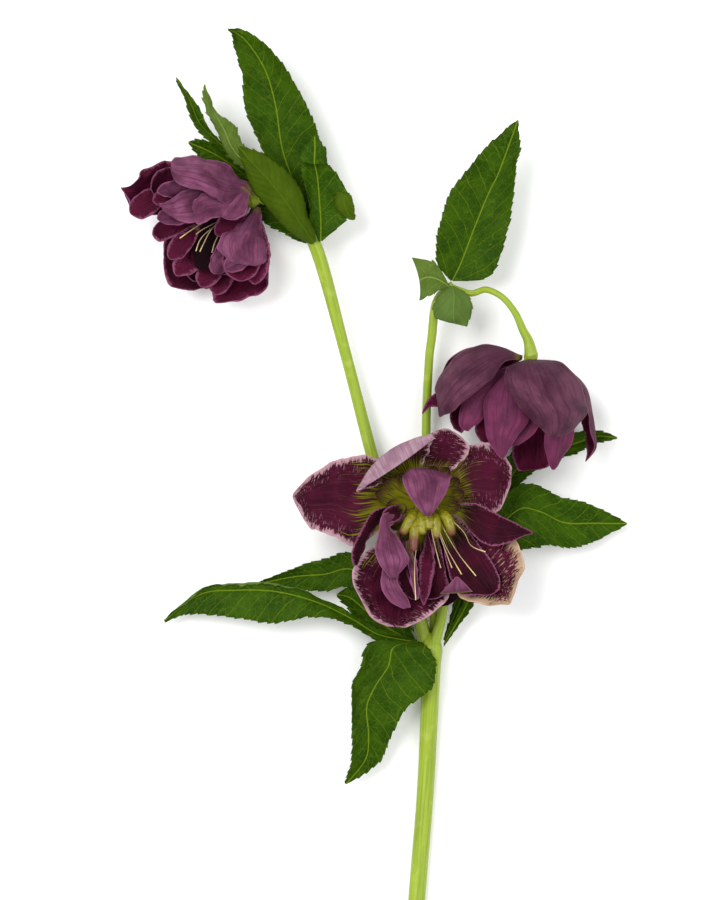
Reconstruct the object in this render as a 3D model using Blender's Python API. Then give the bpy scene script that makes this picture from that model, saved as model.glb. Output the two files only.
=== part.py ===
"""One cut stem of a double hellebore, laid down, with its three blooms and its leaves.

The model lies along +Y with its cut end at the far -Y side, and +Z is up.
The origin is under the middle of the whole spray, on the surface it lies on.
Every length below is in millimetres, and is turned into metres when a mesh is made.
"""

import math

import bmesh
import bpy
from mathutils import Vector

MM = 0.001

STEM_RADIUS = 2.65
BRANCH_RADIUS = 2.0
SIDE_BRANCH_RADIUS = 1.4
PEDICEL_RADIUS = 1.3
NODE_RADIUS = 3.7
STEM_SIDES = 12
CENTRE_STEPS = 10
PRONG_STEPS = 5
STEM_ROUGHNESS = 0.45
PETAL_ROUGHNESS = 0.55

SHARP_ANGLE = math.radians(50)
LOOK_AHEAD = 0.01  # share of a curve's length used to find its direction
SIDE_HINT = Vector((0.3, 0.2, 1.0))  # no stem runs along this
LAST_SPAN_END = 1e-9  # keeps the end of a curve inside its last span

SEPAL_THICKNESS = 0.55
LEAF_THICKNESS = 0.5
BLADE_ROWS = 9
BLADE_COLUMNS = 6

WINE = (0.10, 0.012, 0.035)
LILAC = (0.22, 0.08, 0.15)
LEAF_GREEN = (0.035, 0.10, 0.006)
PALE_GREEN = (0.13, 0.22, 0.05)
STEM_GREEN = (0.28, 0.40, 0.04)
CENTRE_YELLOW = (0.35, 0.34, 0.03)


def clear_scene():
    for thing in list(bpy.data.objects):
        bpy.data.objects.remove(thing)


def material_for(name, colour, roughness):
    """The plain finish of one sub-part."""
    finish = bpy.data.materials.new(name)
    finish.use_nodes = True
    shader = finish.node_tree.nodes["Principled BSDF"]
    shader.inputs["Base Color"].default_value = (*colour, 1.0)
    shader.inputs["Roughness"].default_value = roughness
    shader.inputs["Metallic"].default_value = 0.0
    return finish


def add_object(name, shape, colour, roughness=PETAL_ROUGHNESS):
    """Turns a bmesh in millimetres into a named, smooth shaded object in metres."""
    bmesh.ops.scale(shape, vec=(MM, MM, MM), verts=shape.verts)
    bmesh.ops.recalc_face_normals(shape, faces=shape.faces)
    mesh = bpy.data.meshes.new(name)
    shape.to_mesh(mesh)
    shape.free()
    mesh.shade_smooth()
    mesh.set_sharp_from_angle(angle=SHARP_ANGLE)
    thing = bpy.data.objects.new(name, mesh)
    bpy.context.scene.collection.objects.link(thing)
    mesh.materials.append(material_for(name, colour, roughness))
    return thing


def along(points, share):
    """The point at share (0 to 1) of a smooth curve that passes through all the points."""
    spans = len(points) - 1
    place = min(share * spans, spans - LAST_SPAN_END)
    first = int(place)
    t = place - first
    before = points[max(first - 1, 0)]
    start = points[first]
    end = points[first + 1]
    after = points[min(first + 2, spans)]
    return 0.5 * (
        2 * start
        + (end - before) * t
        + (2 * before - 5 * start + 4 * end - after) * t * t
        + (3 * start - before - 3 * end + after) * t * t * t
    )


def stations(rows):
    """Left edge, middle and right edge points from rows of seven or nine numbers.

    Seven numbers give both edges and the middle's height; nine give all three points.
    Left is the left side as seen on the blade's front face with its tip up.
    """
    lefts = []
    middles = []
    rights = []
    for row in rows:
        if len(row) == 9:
            left = Vector(row[0:3])
            middle = Vector(row[3:6])
            right = Vector(row[6:9])
        else:
            left = Vector(row[0:3])
            right = Vector(row[3:6])
            middle = (left + right) / 2
            middle.z = row[6]
        lefts.append(left)
        middles.append(middle)
        rights.append(right)
    return lefts, middles, rights


def blade(name, rows, colour, thickness):
    """A closed thin solid: a petal or a leaf, bent smoothly through its stations."""
    lefts, middles, rights = stations(rows)
    grid = []
    for i in range(BLADE_ROWS):
        share = i / (BLADE_ROWS - 1)
        left = along(lefts, share)
        middle = along(middles, share)
        right = along(rights, share)
        line = []
        for j in range(BLADE_COLUMNS):
            u = j / (BLADE_COLUMNS - 1)
            line.append(
                left * (2 * u - 1) * (u - 1) + middle * 4 * u * (1 - u) + right * u * (2 * u - 1)
            )
        grid.append(line)
    shape = bmesh.new()
    front = []
    back = []
    for i in range(BLADE_ROWS):
        front_line = []
        back_line = []
        for j in range(BLADE_COLUMNS):
            across = grid[i][min(j + 1, BLADE_COLUMNS - 1)] - grid[i][max(j - 1, 0)]
            outward = grid[min(i + 1, BLADE_ROWS - 1)][j] - grid[max(i - 1, 0)][j]
            normal = across.cross(outward).normalized()
            front_line.append(shape.verts.new(grid[i][j] + normal * thickness / 2))
            back_line.append(shape.verts.new(grid[i][j] - normal * thickness / 2))
        front.append(front_line)
        back.append(back_line)
    last_row = BLADE_ROWS - 1
    last_column = BLADE_COLUMNS - 1
    for i in range(last_row):
        for j in range(last_column):
            shape.faces.new((front[i][j], front[i][j + 1], front[i + 1][j + 1], front[i + 1][j]))
            shape.faces.new((back[i][j], back[i + 1][j], back[i + 1][j + 1], back[i][j + 1]))
        shape.faces.new((front[i][0], front[i + 1][0], back[i + 1][0], back[i][0]))
        shape.faces.new(
            (
                front[i][last_column],
                back[i][last_column],
                back[i + 1][last_column],
                front[i + 1][last_column],
            )
        )
    for j in range(last_column):
        shape.faces.new((front[0][j], back[0][j], back[0][j + 1], front[0][j + 1]))
        shape.faces.new(
            (front[last_row][j], front[last_row][j + 1], back[last_row][j + 1], back[last_row][j])
        )
    return add_object(name, shape, colour)


def tube_shape(path, radii, steps, sides):
    """A bmesh tube with flat ends along a smooth curve, its radius read from radii along it."""
    points = [Vector(point) for point in path]
    sizes = [Vector((radius, 0, 0)) for radius in radii]
    shape = bmesh.new()
    rings = []
    for i in range(steps + 1):
        share = i / steps
        centre = along(points, share)
        ahead = along(points, min(share + LOOK_AHEAD, 1.0))
        behind = along(points, max(share - LOOK_AHEAD, 0.0))
        forward = (ahead - behind).normalized()
        side = forward.cross(SIDE_HINT).normalized()
        up = side.cross(forward)
        radius = along(sizes, share).x
        ring = []
        for k in range(sides):
            angle = 2 * math.pi * k / sides
            ring.append(
                shape.verts.new(centre + radius * (math.cos(angle) * side + math.sin(angle) * up))
            )
        rings.append(ring)
    for first, second in zip(rings, rings[1:]):
        for k in range(sides):
            nxt = (k + 1) % sides
            shape.faces.new((first[k], first[nxt], second[nxt], second[k]))
    shape.faces.new(list(reversed(rings[0])))
    shape.faces.new(rings[-1])
    return shape


def stem(name, path, radii, steps):
    return add_object(name, tube_shape(path, radii, steps, STEM_SIDES), STEM_GREEN, STEM_ROUGHNESS)


def joined_centre(name, base_path, base_radii, prongs):
    """The bloom's receptacle with its nectaries and stamens, joined into one solid."""
    base = add_object(name, tube_shape(base_path, base_radii, CENTRE_STEPS, STEM_SIDES), CENTRE_YELLOW)
    for number, (path, radii, sides) in enumerate(prongs):
        shape = tube_shape(path, radii, PRONG_STEPS, sides)
        prong = add_object(f"{name}_cutter_{number}", shape, CENTRE_YELLOW)
        prong.hide_render = True
        prong.display_type = "WIRE"
        union = base.modifiers.new(f"union_{number}", "BOOLEAN")
        union.operation = "UNION"
        union.solver = "EXACT"
        union.object = prong
    return base


clear_scene()

# The main stem lies on the surface, ends in a swollen node and carries three branches there.
stem(
    "main_stem",
    [(11.5, -150, 2.65), (13.2, -122.8, 2.65), (15.8, -90, 2.8), (17.2, -62, 4.6), (17.5, -48, 6.4),
     (17.5, -41.6, 6.8)],
    [STEM_RADIUS, STEM_RADIUS, STEM_RADIUS, 2.8, 3.5, NODE_RADIUS],
    14,
)
stem(
    "left_branch",
    [(15.3, -41.15, 6.1), (14.6, -37, 6.1), (11, -24.8, 6), (3.9, 0, 6), (-0.9, 16, 6.5),
     (-9.5, 49, 8.5), (-18.2, 80.5, 12), (-24, 88, 14.4), (-31, 94, 15), (-34.7, 96.9, 14.3)],
    [BRANCH_RADIUS, BRANCH_RADIUS, BRANCH_RADIUS, 1.95, 1.9, 1.8, 1.9, 1.4, PEDICEL_RADIUS, 1.5],
    20,
)
stem(
    "right_branch",
    [(19.2, -41, 5.2), (18.6, -35, 5.1), (17.3, 0, 5), (16.1, 22, 5.5), (16.9, 45, 7.5),
     (17.8, 53, 8.2), (19, 63, 9.3), (22, 67.3, 10), (24.4, 68.6, 10.3)],
    [SIDE_BRANCH_RADIUS, SIDE_BRANCH_RADIUS, SIDE_BRANCH_RADIUS, SIDE_BRANCH_RADIUS,
     SIDE_BRANCH_RADIUS, SIDE_BRANCH_RADIUS, SIDE_BRANCH_RADIUS, 1.7, 1.9],
    18,
)
stem(
    "front_pedicel",
    [(18.9, -40.9, 8.7), (21, -34, 8.8), (22, -24, 8.6), (20.6, -12, 8.7), (18.2, -4.4, 9.3),
     (16.8, -1, 10.3)],
    [1.5, 1.5, PEDICEL_RADIUS, PEDICEL_RADIUS, 1.3, 1.4],
    12,
)
stem(
    "right_pedicel",
    [(25.7, 68.4, 10.8), (30.5, 66.9, 12.5), (35, 68, 15), (40, 65.5, 17.5), (43.8, 60.8, 19),
     (46.2, 55.5, 19.3), (48, 51.8, 19.2), (48.6, 49.6, 19.15)],
    [1.2, 1.0, 1.0, 1.0, 1.1, 1.3, 1.4, 1.6],
    18,
)

# The leaves: each is one lobe of a bract that grows at a node of the stem.
LEAVES = {
    "left_leaf_tall": [
        (-19.2, 86.2, 12, -18.4, 86.2, 11.8, -17.6, 86.2, 12),
        (-26.4, 98, 14, -25, 101, 13, -19.6, 100, 13.8),
        (-34, 110, 15.5, -29, 112, 13.5, -17.5, 113, 15.5),
        (-39.7, 123, 17, -31.2, 126, 14.5, -21.5, 125, 17),
        (-42, 137, 18, -34.5, 137, 15.5, -28.5, 138, 18),
        (-44, 145.5, 18, -40.5, 146, 16.5, -37.5, 147, 18),
        (-46.1, 149.5, 18, -46, 149.7, 18, -45.6, 149.6, 18),
    ],
    "left_leaf_lobe": [
        (-17.6, 83, 14.6, -17, 83.2, 14.4, -16.4, 83.4, 14.6),
        (-20, 90, 15.8, -17, 90, 15, -9, 90.2, 16.5),
        (-21, 96, 17, -17.5, 97, 15.5, -7.2, 95, 18),
        (-22, 102, 18.5, -18, 103, 16.5, -11.5, 103, 18),
        (-23, 108, 19.5, -19, 108.5, 18, -15.4, 108, 18.5),
        (-19.6, 115.1, 19, -19.3, 115.3, 19, -19, 115.1, 19),
    ],
    "left_leaf_low": [
        (-21.5, 82.6, 10, -21.3, 83.4, 9.8, -20.9, 84.4, 10),
        (-28, 85.6, 10, -28, 90, 8.6, -27, 94, 9.6),
        (-35.6, 90.5, 8.4, -35, 96, 7.4, -34, 102, 8.6),
        (-39, 99.5, 8, -41, 104, 7.4, -41, 109, 9),
        (-47, 106, 9, -47.5, 109, 9, -47.5, 112.2, 9.6),
        (-54, 109.2, 12, -53, 112, 11.6, -52.5, 114.8, 12.4),
        (-58.4, 113.8, 14, -58.4, 114.2, 14, -58.2, 114.5, 14),
    ],
    "left_leaf_cupped": [
        (-18.4, 83.4, 15.3, -19.1, 82.8, 15.4, -20, 82.3, 15.3),
        (-20.5, 90, 18.6, -22.5, 87.5, 20.5, -24.5, 84.6, 18),
        (-23.5, 100, 20.5, -28, 95.5, 23.5, -32, 91, 19.6),
        (-30, 106.8, 21, -33.5, 102.5, 23.5, -38.5, 100, 19.6),
        (-36.5, 110.8, 21, -38.5, 107.8, 22, -41, 106.5, 20.4),
        (-42.3, 112.8, 20.8, -42.5, 112.6, 21, -42.7, 112.3, 20.8),
    ],
    "left_leaf_outer": [
        (-23.6, 88, 10.9, -23, 88.8, 10.8, -22.4, 89.6, 10.9),
        (-34, 98, 10, -33.2, 99, 9.9, -32.4, 100, 10),
        (-44, 108, 11.4, -43, 109, 11.3, -42, 110, 11.4),
        (-56, 119, 13, -54, 119, 12.6, -51, 117, 13),
        (-59.6, 128, 14.6, -58, 127, 14.2, -56, 125.8, 14.6),
        (-62.4, 134.4, 15.5, -62.3, 134.6, 15.5, -62.1, 134.3, 15.5),
    ],
    "left_leaf_pale": [
        (-25.4, 91.4, 12.2, -24.9, 92.2, 12.2, -24.3, 93, 12.2),
        (-36.5, 102.4, 12.4, -35.6, 103.3, 12.4, -34.6, 104.2, 12.4),
        (-46, 110, 13.6, -44, 111.4, 14, -40.6, 111.2, 13.6),
        (-50.5, 119, 15, -47.5, 118.6, 16, -44, 119, 15),
        (-53.4, 127, 16, -51.9, 126.4, 16.6, -50.6, 124.6, 16),
        (-53.5, 132.2, 16.4, -53.3, 132.4, 16.4, -53.1, 132.1, 16.4),
    ],
    "right_leaf_tall": [
        (23.6, 71, 10.6, 24.2, 70.9, 10.4, 24.8, 70.8, 10.6),
        (19.6, 77, 12.5, 27, 76.5, 10.5, 36, 72.5, 12.5),
        (20.2, 87, 14, 31, 87, 11.5, 40.8, 84.5, 14),
        (24, 98.5, 15, 35.5, 98, 12.5, 43.2, 97, 15),
        (29, 105.5, 15.5, 38.5, 104, 13.5, 43.6, 104.5, 15.5),
        (36, 113.5, 15.5, 41.5, 112, 14.5, 45, 111, 15.5),
        (44.4, 121, 15, 44.8, 121.2, 15, 45, 120.8, 15),
    ],
    "right_leaf_folded": [
        (23.6, 68, 13, 23.4, 68.8, 12.8, 23.2, 69.6, 13),
        (20, 68, 14, 20.4, 71, 13.6, 20.5, 74, 14.6),
        (17, 66.2, 15, 16.6, 72, 14.6, 18, 76.4, 15.6),
        (13.9, 64.6, 16, 13.9, 71, 15.6, 11.4, 78.2, 16),
    ],
    "right_leaf_round": [
        (23.4, 69, 13.8, 24.2, 69.2, 13.9, 25, 69, 13.8),
        (20.6, 66.8, 15.8, 24.8, 66, 16.6, 28.4, 67, 15.8),
        (18.4, 63, 15.6, 24.6, 62.5, 17, 30.2, 63.4, 15.6),
        (19, 59.2, 15, 24.6, 59.4, 16.4, 29.6, 59.4, 15),
        (22.5, 57.9, 14.8, 25.2, 57.4, 15, 28.8, 56.4, 14.8),
    ],
    "lower_leaf_behind": [
        (12.3, -39.3, 7, 12.4, -38.8, 6.8, 12, -38.1, 7),
        (2, -30, 8, 2, -27.5, 7, 3, -25, 8),
        (-7, -25, 8.5, -7, -19.8, 7, -6.5, -15.2, 8.5),
        (-16, -26.2, 8, -16, -21.2, 6.5, -15, -16.4, 8),
        (-25, -26, 7, -24, -21.8, 5.8, -24, -18.8, 7),
        (-32, -25.2, 6, -31, -23, 5.2, -30, -21, 6),
        (-37.2, -24.7, 5, -37.3, -24.4, 5, -37.2, -24.1, 5),
    ],
    "lower_leaf_long": [
        (13.2, -43.2, 8.6, 13.3, -42.5, 8.5, 13.4, -41.8, 8.6),
        (2, -42.2, 9.6, 1, -40, 9, 1.5, -38.5, 9.5),
        (-8, -36.8, 11.5, -7, -35.3, 10.8, -5.5, -34.6, 11.5),
        (-19, -34.2, 12, -18, -30, 10.5, -16, -29, 11.5),
        (-32, -36.2, 11, -31, -26.6, 9.5, -30, -24.6, 10.3),
        (-45, -34.4, 9.5, -44, -26.2, 8, -43.5, -24.3, 8.6),
        (-57, -33.3, 7, -55, -27.6, 6, -54, -25.9, 6.4),
        (-66.3, -36.1, 3.6, -66.3, -35.8, 3.6, -66.2, -35.5, 3.6),
    ],
    "lower_leaf_small": [
        (12.9, -43.6, 5.4, 13, -42.9, 5.2, 13, -42, 5.4),
        (2, -42.5, 5.5, 4, -38, 4.5, 7, -33, 5.5),
        (-5, -36.5, 6, -3, -32.5, 5, 0, -28, 6),
        (-9.5, -30.5, 6, -8, -28.5, 5.4, -6.5, -25, 6),
        (-12.1, -27.9, 6, -12, -27.7, 6, -11.9, -27.4, 6),
    ],
    "lower_leaf_front": [
        (14.6, -42.4, 10.6, 14, -42.3, 10.6, 13.4, -42.3, 10.6),
        (17.5, -45.5, 12, 6, -44, 10.6, -1, -42.4, 11.4),
        (19, -50, 12.5, 4.2, -50, 9.8, -4.5, -50, 11.5),
        (17, -57.5, 12, 0, -56.5, 9, -7, -57, 11),
        (9.5, -63.4, 10.5, -2.6, -63, 8, -7.4, -64, 9.5),
        (4, -73.5, 8.5, -2, -72, 6.5, -6.9, -73, 8),
        (1, -80.5, 6.5, -3, -79.5, 5, -7.3, -80, 6.5),
        (-8.8, -87.2, 4, -9.1, -87.3, 4, -9.4, -87.1, 4),
    ],
    "side_leaf": [
        (21.6, -43, 6.8, 21.7, -43.4, 6.6, 21.6, -43.9, 6.8),
        (29, -27, 7.5, 30.5, -27.5, 7, 32, -28.5, 7.5),
        (34, -8, 9, 37, -10, 8, 40, -13, 9),
        (42, 4.5, 10, 45, -1, 8.5, 46, -13.2, 10),
        (49, 7, 10, 52, -1.6, 8, 54, -11.8, 9.5),
        (58, 3, 9, 59.5, -5, 7, 61, -12.5, 8.5),
        (68, 0.4, 7, 69, -5.2, 5.5, 68, -11, 6.5),
        (79.2, -5.1, 3.5, 79.3, -5.3, 3.5, 79.2, -5.6, 3.5),
    ],
    "side_leaf_behind": [
        (21.5, -41.8, 4.6, 21.9, -42.2, 4.5, 22.2, -42.6, 4.6),
        (28, -22, 4, 29.5, -22.8, 3.8, 31, -23.5, 4),
        (36, -2, 3.5, 37.6, -3, 3.3, 39, -4, 3.5),
        (40.8, 13, 3.5, 44, 11, 2.6, 47, 9, 3.5),
        (48, 20.5, 4, 52, 17, 2.2, 55, 13.5, 3.6),
        (60, 22.5, 4.5, 62, 19.5, 3.4, 63, 17.2, 4.2),
        (69, 24, 6, 69.5, 22, 5.2, 69.5, 20.2, 5.8),
        (76, 21.9, 7, 76.1, 21.6, 7, 76, 21.3, 7),
    ],
}
PALE_LEAVES = ("left_leaf_cupped", "left_leaf_pale", "right_leaf_round")
for leaf_name, leaf_rows in LEAVES.items():
    green = PALE_GREEN if leaf_name in PALE_LEAVES else LEAF_GREEN
    blade(leaf_name, leaf_rows, green, LEAF_THICKNESS)

# The front bloom faces up: six broad sepals in a wide cup, and smaller petals inside it.
FRONT_SEPALS = {
    "front_sepal_left": [
        (11.2, -1, 13.2, 11.2, 4.5, 13.2, 13),
        (4, -6, 15.5, 7, 10, 15, 14.2),
        (-2, -10, 17.5, 2, 14.6, 16.5, 15.8),
        (-8, -12, 18.5, -4, 16, 17.5, 16.8),
        (-15, -8.2, 19, -11.5, 14.8, 18.5, 17.8),
        (-21, -6, 20, -18.5, 11.2, 20, 19),
        (-24.2, 0, 21, -23.5, 6.5, 21, 20.6),
        (-25.8, 3, 21.3, -25.6, 4.2, 21.3, 21.3),
    ],
    "front_sepal_top_left": [
        (11.8, 4.9, 14.4, 12.8, 5, 14.3, 13.8, 5.6, 14.4),
        (4, 7, 17, 9, 11, 16.2, 15.5, 13.5, 16.8),
        (-3, 6, 19.6, 5.5, 16, 19.4, 17.5, 19, 19.8),
        (-6, 5, 21.6, 5, 17.7, 22, 18.2, 22, 22),
        (-5, 5.3, 23.4, 7.2, 13, 24, 18.4, 21.4, 23.6),
    ],
    "front_sepal_top": [
        (14.8, 5.6, 13.3, 18.2, 5.8, 13.3, 13.1),
        (13.5, 13, 14.8, 25, 12, 16.6, 15),
        (14.5, 18, 16.8, 29, 16.5, 19, 17.5),
        (15.5, 21.2, 19, 29.2, 19.4, 20.5, 19.5),
        (18, 23.6, 20.6, 26.8, 22.2, 21, 21),
        (21.5, 24.6, 21.2, 23, 24.5, 21.2, 21.2),
    ],
    "front_sepal_right": [
        (20.2, 4.4, 13.3, 20.9, 1.6, 13.3, 13.1),
        (24, 13, 14.6, 27, 0, 15.2, 14.6),
        (29, 18.8, 16.8, 33, -0.8, 16.8, 16.2),
        (35, 20.2, 19.4, 38, -1.8, 18.3, 18),
        (40, 16.5, 21.5, 41, 3, 20, 19.8),
        (42.8, 12.5, 22, 42.4, 7, 21.5, 21.6),
    ],
    "front_sepal_lower_right": [
        (20.8, -1.4, 13.3, 19.2, -3, 13.3, 13.1),
        (31, -4, 14.6, 23, -14, 15.2, 14.2),
        (39, -7, 17.2, 25, -22.5, 17.4, 15.6),
        (44, -10.8, 20, 26.5, -28.2, 20, 17.5),
        (46, -17.5, 23, 33, -30, 22, 20),
        (44.5, -24, 24, 38, -30.8, 23.5, 22.6),
        (42.4, -30, 24, 41.6, -30.6, 24, 24),
    ],
    "front_sepal_lower": [
        (17.8, -3.9, 13.2, 12.9, -3.1, 13.3, 13),
        (20, -13, 14.2, 4, -9, 15.5, 13.8),
        (22.5, -22, 15.6, -2, -13.5, 18.5, 14.8),
        (23.2, -28.8, 18.6, -6.4, -18.6, 22, 16.2),
        (18, -33, 22, -6.6, -25, 24.5, 19),
        (12.5, -36.4, 24.5, -2, -33.2, 25.5, 22.5),
        (9.5, -37.6, 25.8, 3.8, -37.2, 25.8, 25.2),
    ],
}
FRONT_PETALS = {
    "front_petal_pointed": [
        (20.5, 0.9, 15.2, 20.8, -0.9, 15.2, 15),
        (26, 1.2, 18.5, 26.5, -3.5, 18.5, 17.6),
        (31, 1.2, 20.5, 30, -8, 20.5, 19.4),
        (36, -1, 21.6, 35, -11.8, 21.6, 20.6),
        (42, -3.8, 22.6, 41.5, -11.4, 22.6, 21.8),
        (46.5, -6.1, 23.2, 46, -9.5, 23.2, 22.8),
        (49.3, -7.8, 23.5, 49.3, -8.3, 23.5, 23.5),
    ],
    "front_petal_dark_right": [
        (20.6, -1.8, 15.2, 19.6, -3, 15.2, 15),
        (27.5, -6, 16.8, 21.5, -13, 17.6, 16.6),
        (34, -13.5, 19, 23.5, -22, 19.8, 18.4),
        (38.3, -20, 21.8, 26, -26.5, 22.2, 21),
        (38.8, -25, 23.6, 31.5, -27.2, 23.8, 23),
        (36.5, -27.4, 24.4, 35, -27.6, 24.4, 24.4),
    ],
    "front_petal_dark_lower": [
        (18.2, -4.3, 14.7, 16.2, -4.7, 14.7, 14.6),
        (21, -14, 16, 11, -13, 16.6, 15.6),
        (22.4, -22, 17.4, 10, -21, 18.2, 16.8),
        (22.3, -26.5, 19.6, 13, -27.5, 20.4, 18.6),
        (19.5, -28.6, 21.4, 17, -28.9, 21.6, 21.2),
    ],
    "front_petal_narrow": [
        (11.6, -2, 15.2, 10.9, 0.6, 15.2, 15),
        (6, -3, 17, 5, 0.6, 18.5, 17),
        (1, -5.5, 18.2, -0.5, -1.4, 21.5, 19.6),
        (-2, -10, 19.4, -4.6, -8, 23.5, 21.2),
        (-3.8, -14.5, 20.4, -7.2, -13.5, 24.5, 22.3),
        (-5.6, -18.2, 23, -6.6, -18.4, 24.6, 23.8),
    ],
    "front_petal_lilac_upper": [
        (11.8, -2.9, 17, 12.6, -3.5, 17, 17.1),
        (6.5, -1.5, 19.8, 8, -4.5, 19.8, 20),
        (2.3, -2.5, 22.8, 4.5, -6.5, 22.8, 23.2),
        (1, -9, 24, 7, -9.5, 24, 25),
        (0, -13, 25, 10, -14.5, 24.6, 26.2),
        (1.2, -17.5, 25.2, 10.5, -17.2, 24.6, 26.4),
        (4.8, -22.2, 24.8, 6.4, -22, 24.8, 25.2),
    ],
    "front_petal_lilac_lower": [
        (12.8, -3.4, 15.4, 14.8, -4.4, 15.4, 15.3),
        (8, -9, 17.7, 12, -10.4, 17.9, 17.7),
        (4, -15, 20, 9.5, -17, 20, 20.2),
        (2.2, -20.5, 22.3, 7, -22.5, 22.3, 22.9),
        (1.8, -24.5, 23.4, 8.3, -25.5, 23, 24),
        (4.2, -29, 24, 10.5, -28.8, 23.6, 24.4),
        (8.8, -31.8, 24, 11.2, -31.3, 24, 24.1),
    ],
    "front_petal_heart": [
        (14.6, 5.2, 15.7, 17.6, 5.2, 15.7, 15.5),
        (11.5, 8, 18.8, 21, 7.6, 18.8, 18),
        (9.4, 10.6, 21.4, 14, 12, 21.4, 23.8, 9.8, 21.4),
        (8.8, 8, 23.8, 23.4, 7.6, 23.6, 25),
        (10.6, 3.6, 24.8, 21.8, 3.4, 24.6, 26.2),
        (14, -1, 25.2, 19, -0.6, 25, 26),
        (16.1, -2.9, 25, 17.2, -2.8, 25, 25.2),
    ],
}

# The left bloom opens down, left and up: a roof of lilac sepals over a dark mouth.
LEFT_SEPALS = {
    "left_sepal_top": [
        (-37.2, 100.4, 16.6, -38, 98.6, 17.6, 17.6),
        (-41, 102.6, 17.4, -42, 97.2, 21, 20.4),
        (-46, 106, 17.5, -46.5, 95, 26, 25.5),
        (-52.5, 108.8, 19, -51.5, 97, 30, 29.5),
        (-58, 109.2, 20.5, -57, 99.6, 31.5, 30.5),
        (-62, 108.8, 22.5, -61, 101, 31.5, 29.8),
        (-63.8, 107.6, 25.5, -63.6, 104.4, 29.5, 28),
    ],
    "left_sepal_side": [
        (-41.6, 97.3, 11, -41.2, 99.3, 11, 10.8),
        (-48, 92, 10.5, -47, 103, 11.4, 9.4),
        (-58, 89.5, 11.5, -56, 107, 13.5, 9.5),
        (-66, 90.5, 14, -65, 108.6, 17, 12),
        (-72, 91.6, 17, -71, 106, 19, 15),
        (-76.8, 92.3, 20, -74.5, 102.5, 20, 18.5),
        (-78, 98, 21.5, -79.6, 99.8, 21.8, 21.6),
    ],
    "left_sepal_lower_left": [
        (-40, 95.2, 10.2, -41.2, 96.4, 10.2, 10.1),
        (-43, 88, 6.5, -49, 92.4, 8, 5.5),
        (-46, 80, 3.2, -58, 90, 7.4, 1.9),
        (-49, 73, 2.7, -65, 86, 10, 0.8),
        (-51.5, 69, 5.5, -66, 79, 12, 3.6),
        (-55, 68, 9, -66, 73, 13, 8),
        (-59, 68, 12, -64, 69, 13.5, 12),
    ],
    "left_sepal_lower_right": [
        (-36.9, 95, 10.9, -38.5, 94.4, 10.9, 10.7),
        (-35.2, 88, 10.2, -42.6, 86, 9.2, 8.2),
        (-33.6, 80.5, 10.8, -45, 79, 7.8, 6.8),
        (-32.8, 74.5, 12.5, -48, 73, 8.2, 7.4),
        (-34.5, 68.5, 13.5, -50.8, 68.5, 10.6, 9.4),
        (-40, 66.3, 13.5, -51, 66, 12.2, 11.2),
        (-46, 64.2, 13.6, -50, 63.8, 13.2, 13.2),
    ],
    "left_sepal_folded": [
        (-37.5, 94, 15.2, -35.7, 93.8, 14.2, 15.2),
        (-40.2, 90, 18.5, -35.8, 90, 15, 18.5),
        (-44, 86.5, 22, -35, 86, 15.5, 22.5),
        (-48.2, 84, 25.5, -34.2, 82, 16.5, 25),
        (-49, 80.5, 26.5, -33.8, 79.5, 18, 25),
        (-46.5, 77.2, 25.5, -34.6, 76.6, 19.5, 24.5),
        (-43, 76, 25, -37.5, 75.3, 22, 24),
    ],
}
LEFT_PETALS = {
    "left_petal_roof_left": [
        (-42, 98.8, 15.2, -41.8, 97.4, 15.6, 15.6),
        (-47, 99, 19, -46.5, 92.4, 21, 21.6),
        (-54, 99.8, 22, -53.5, 89.5, 25, 25.6),
        (-60, 99, 25, -58.5, 88.8, 27, 27.4),
        (-64, 96, 26.6, -62.5, 90, 27.6, 27.8),
        (-67.4, 94.8, 27.6, -66, 92.4, 27.6, 27.8),
    ],
    "left_petal_roof_right": [
        (-41, 98.2, 16.8, -40.8, 96.6, 17, 17.3),
        (-43.4, 97.6, 19.4, -42.6, 92.4, 19.6, 20.9),
        (-48.5, 98, 23.6, -47, 90.8, 24, 25.2),
        (-53, 98, 27.4, -51.5, 89.6, 27.7, 28),
        (-56.2, 96, 28.9, -55, 88, 29, 29.4),
        (-57, 93.5, 29.2, -56.2, 89.5, 29.4, 29.5),
    ],
    "left_petal_cup": [
        (-42, 95.2, 12.2, -42.2, 96.2, 12.3, 12.1),
        (-50, 89.6, 14.2, -50, 93.2, 14.8, 13.8),
        (-58, 86.5, 16.4, -58, 90.9, 17.2, 16),
        (-63.5, 84.6, 20, -63.5, 90.6, 20.6, 18.6),
        (-67.5, 82.9, 22.5, -67, 89.6, 23, 20.8),
        (-69.6, 85, 24, -69.2, 87.2, 24, 23.4),
    ],
    "left_petal_side": [
        (-42.2, 97.2, 13.2, -42, 98.4, 13.2, 13.1),
        (-50, 94.8, 14.6, -50, 101, 15.5, 13.6),
        (-58, 94, 17, -58, 104.5, 18.4, 15.8),
        (-65, 95.5, 20.5, -64.5, 105.6, 22, 18.8),
        (-69.2, 97, 23, -68, 105, 24, 22),
        (-70, 99.3, 24.6, -69.8, 101.8, 24.8, 24.4),
    ],
    "left_petal_small": [
        (-36.8, 93.8, 12.3, -38.1, 93.2, 12.3, 12.2),
        (-36.6, 86, 13, -42, 85, 12, 11.2),
        (-36.4, 79, 14, -45.5, 80, 12.4, 11.4),
        (-38, 73.5, 16.5, -49, 76, 15, 14),
        (-46, 72.6, 17, -51.6, 73.6, 17, 16.8),
    ],
    "left_petal_inner": [
        (-39.9, 93.2, 11.6, -41.1, 94.1, 11.7, 11.5),
        (-45, 86.6, 11.2, -50, 89.6, 11.4, 10.4),
        (-49.5, 80, 10.4, -57.6, 87, 12, 8.6),
        (-53, 74, 10.2, -61.5, 82, 14, 9),
        (-55.5, 71, 12, -61, 76.5, 15, 11.5),
        (-58, 71.5, 14.5, -59.4, 73, 15, 14.4),
    ],
}

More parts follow.
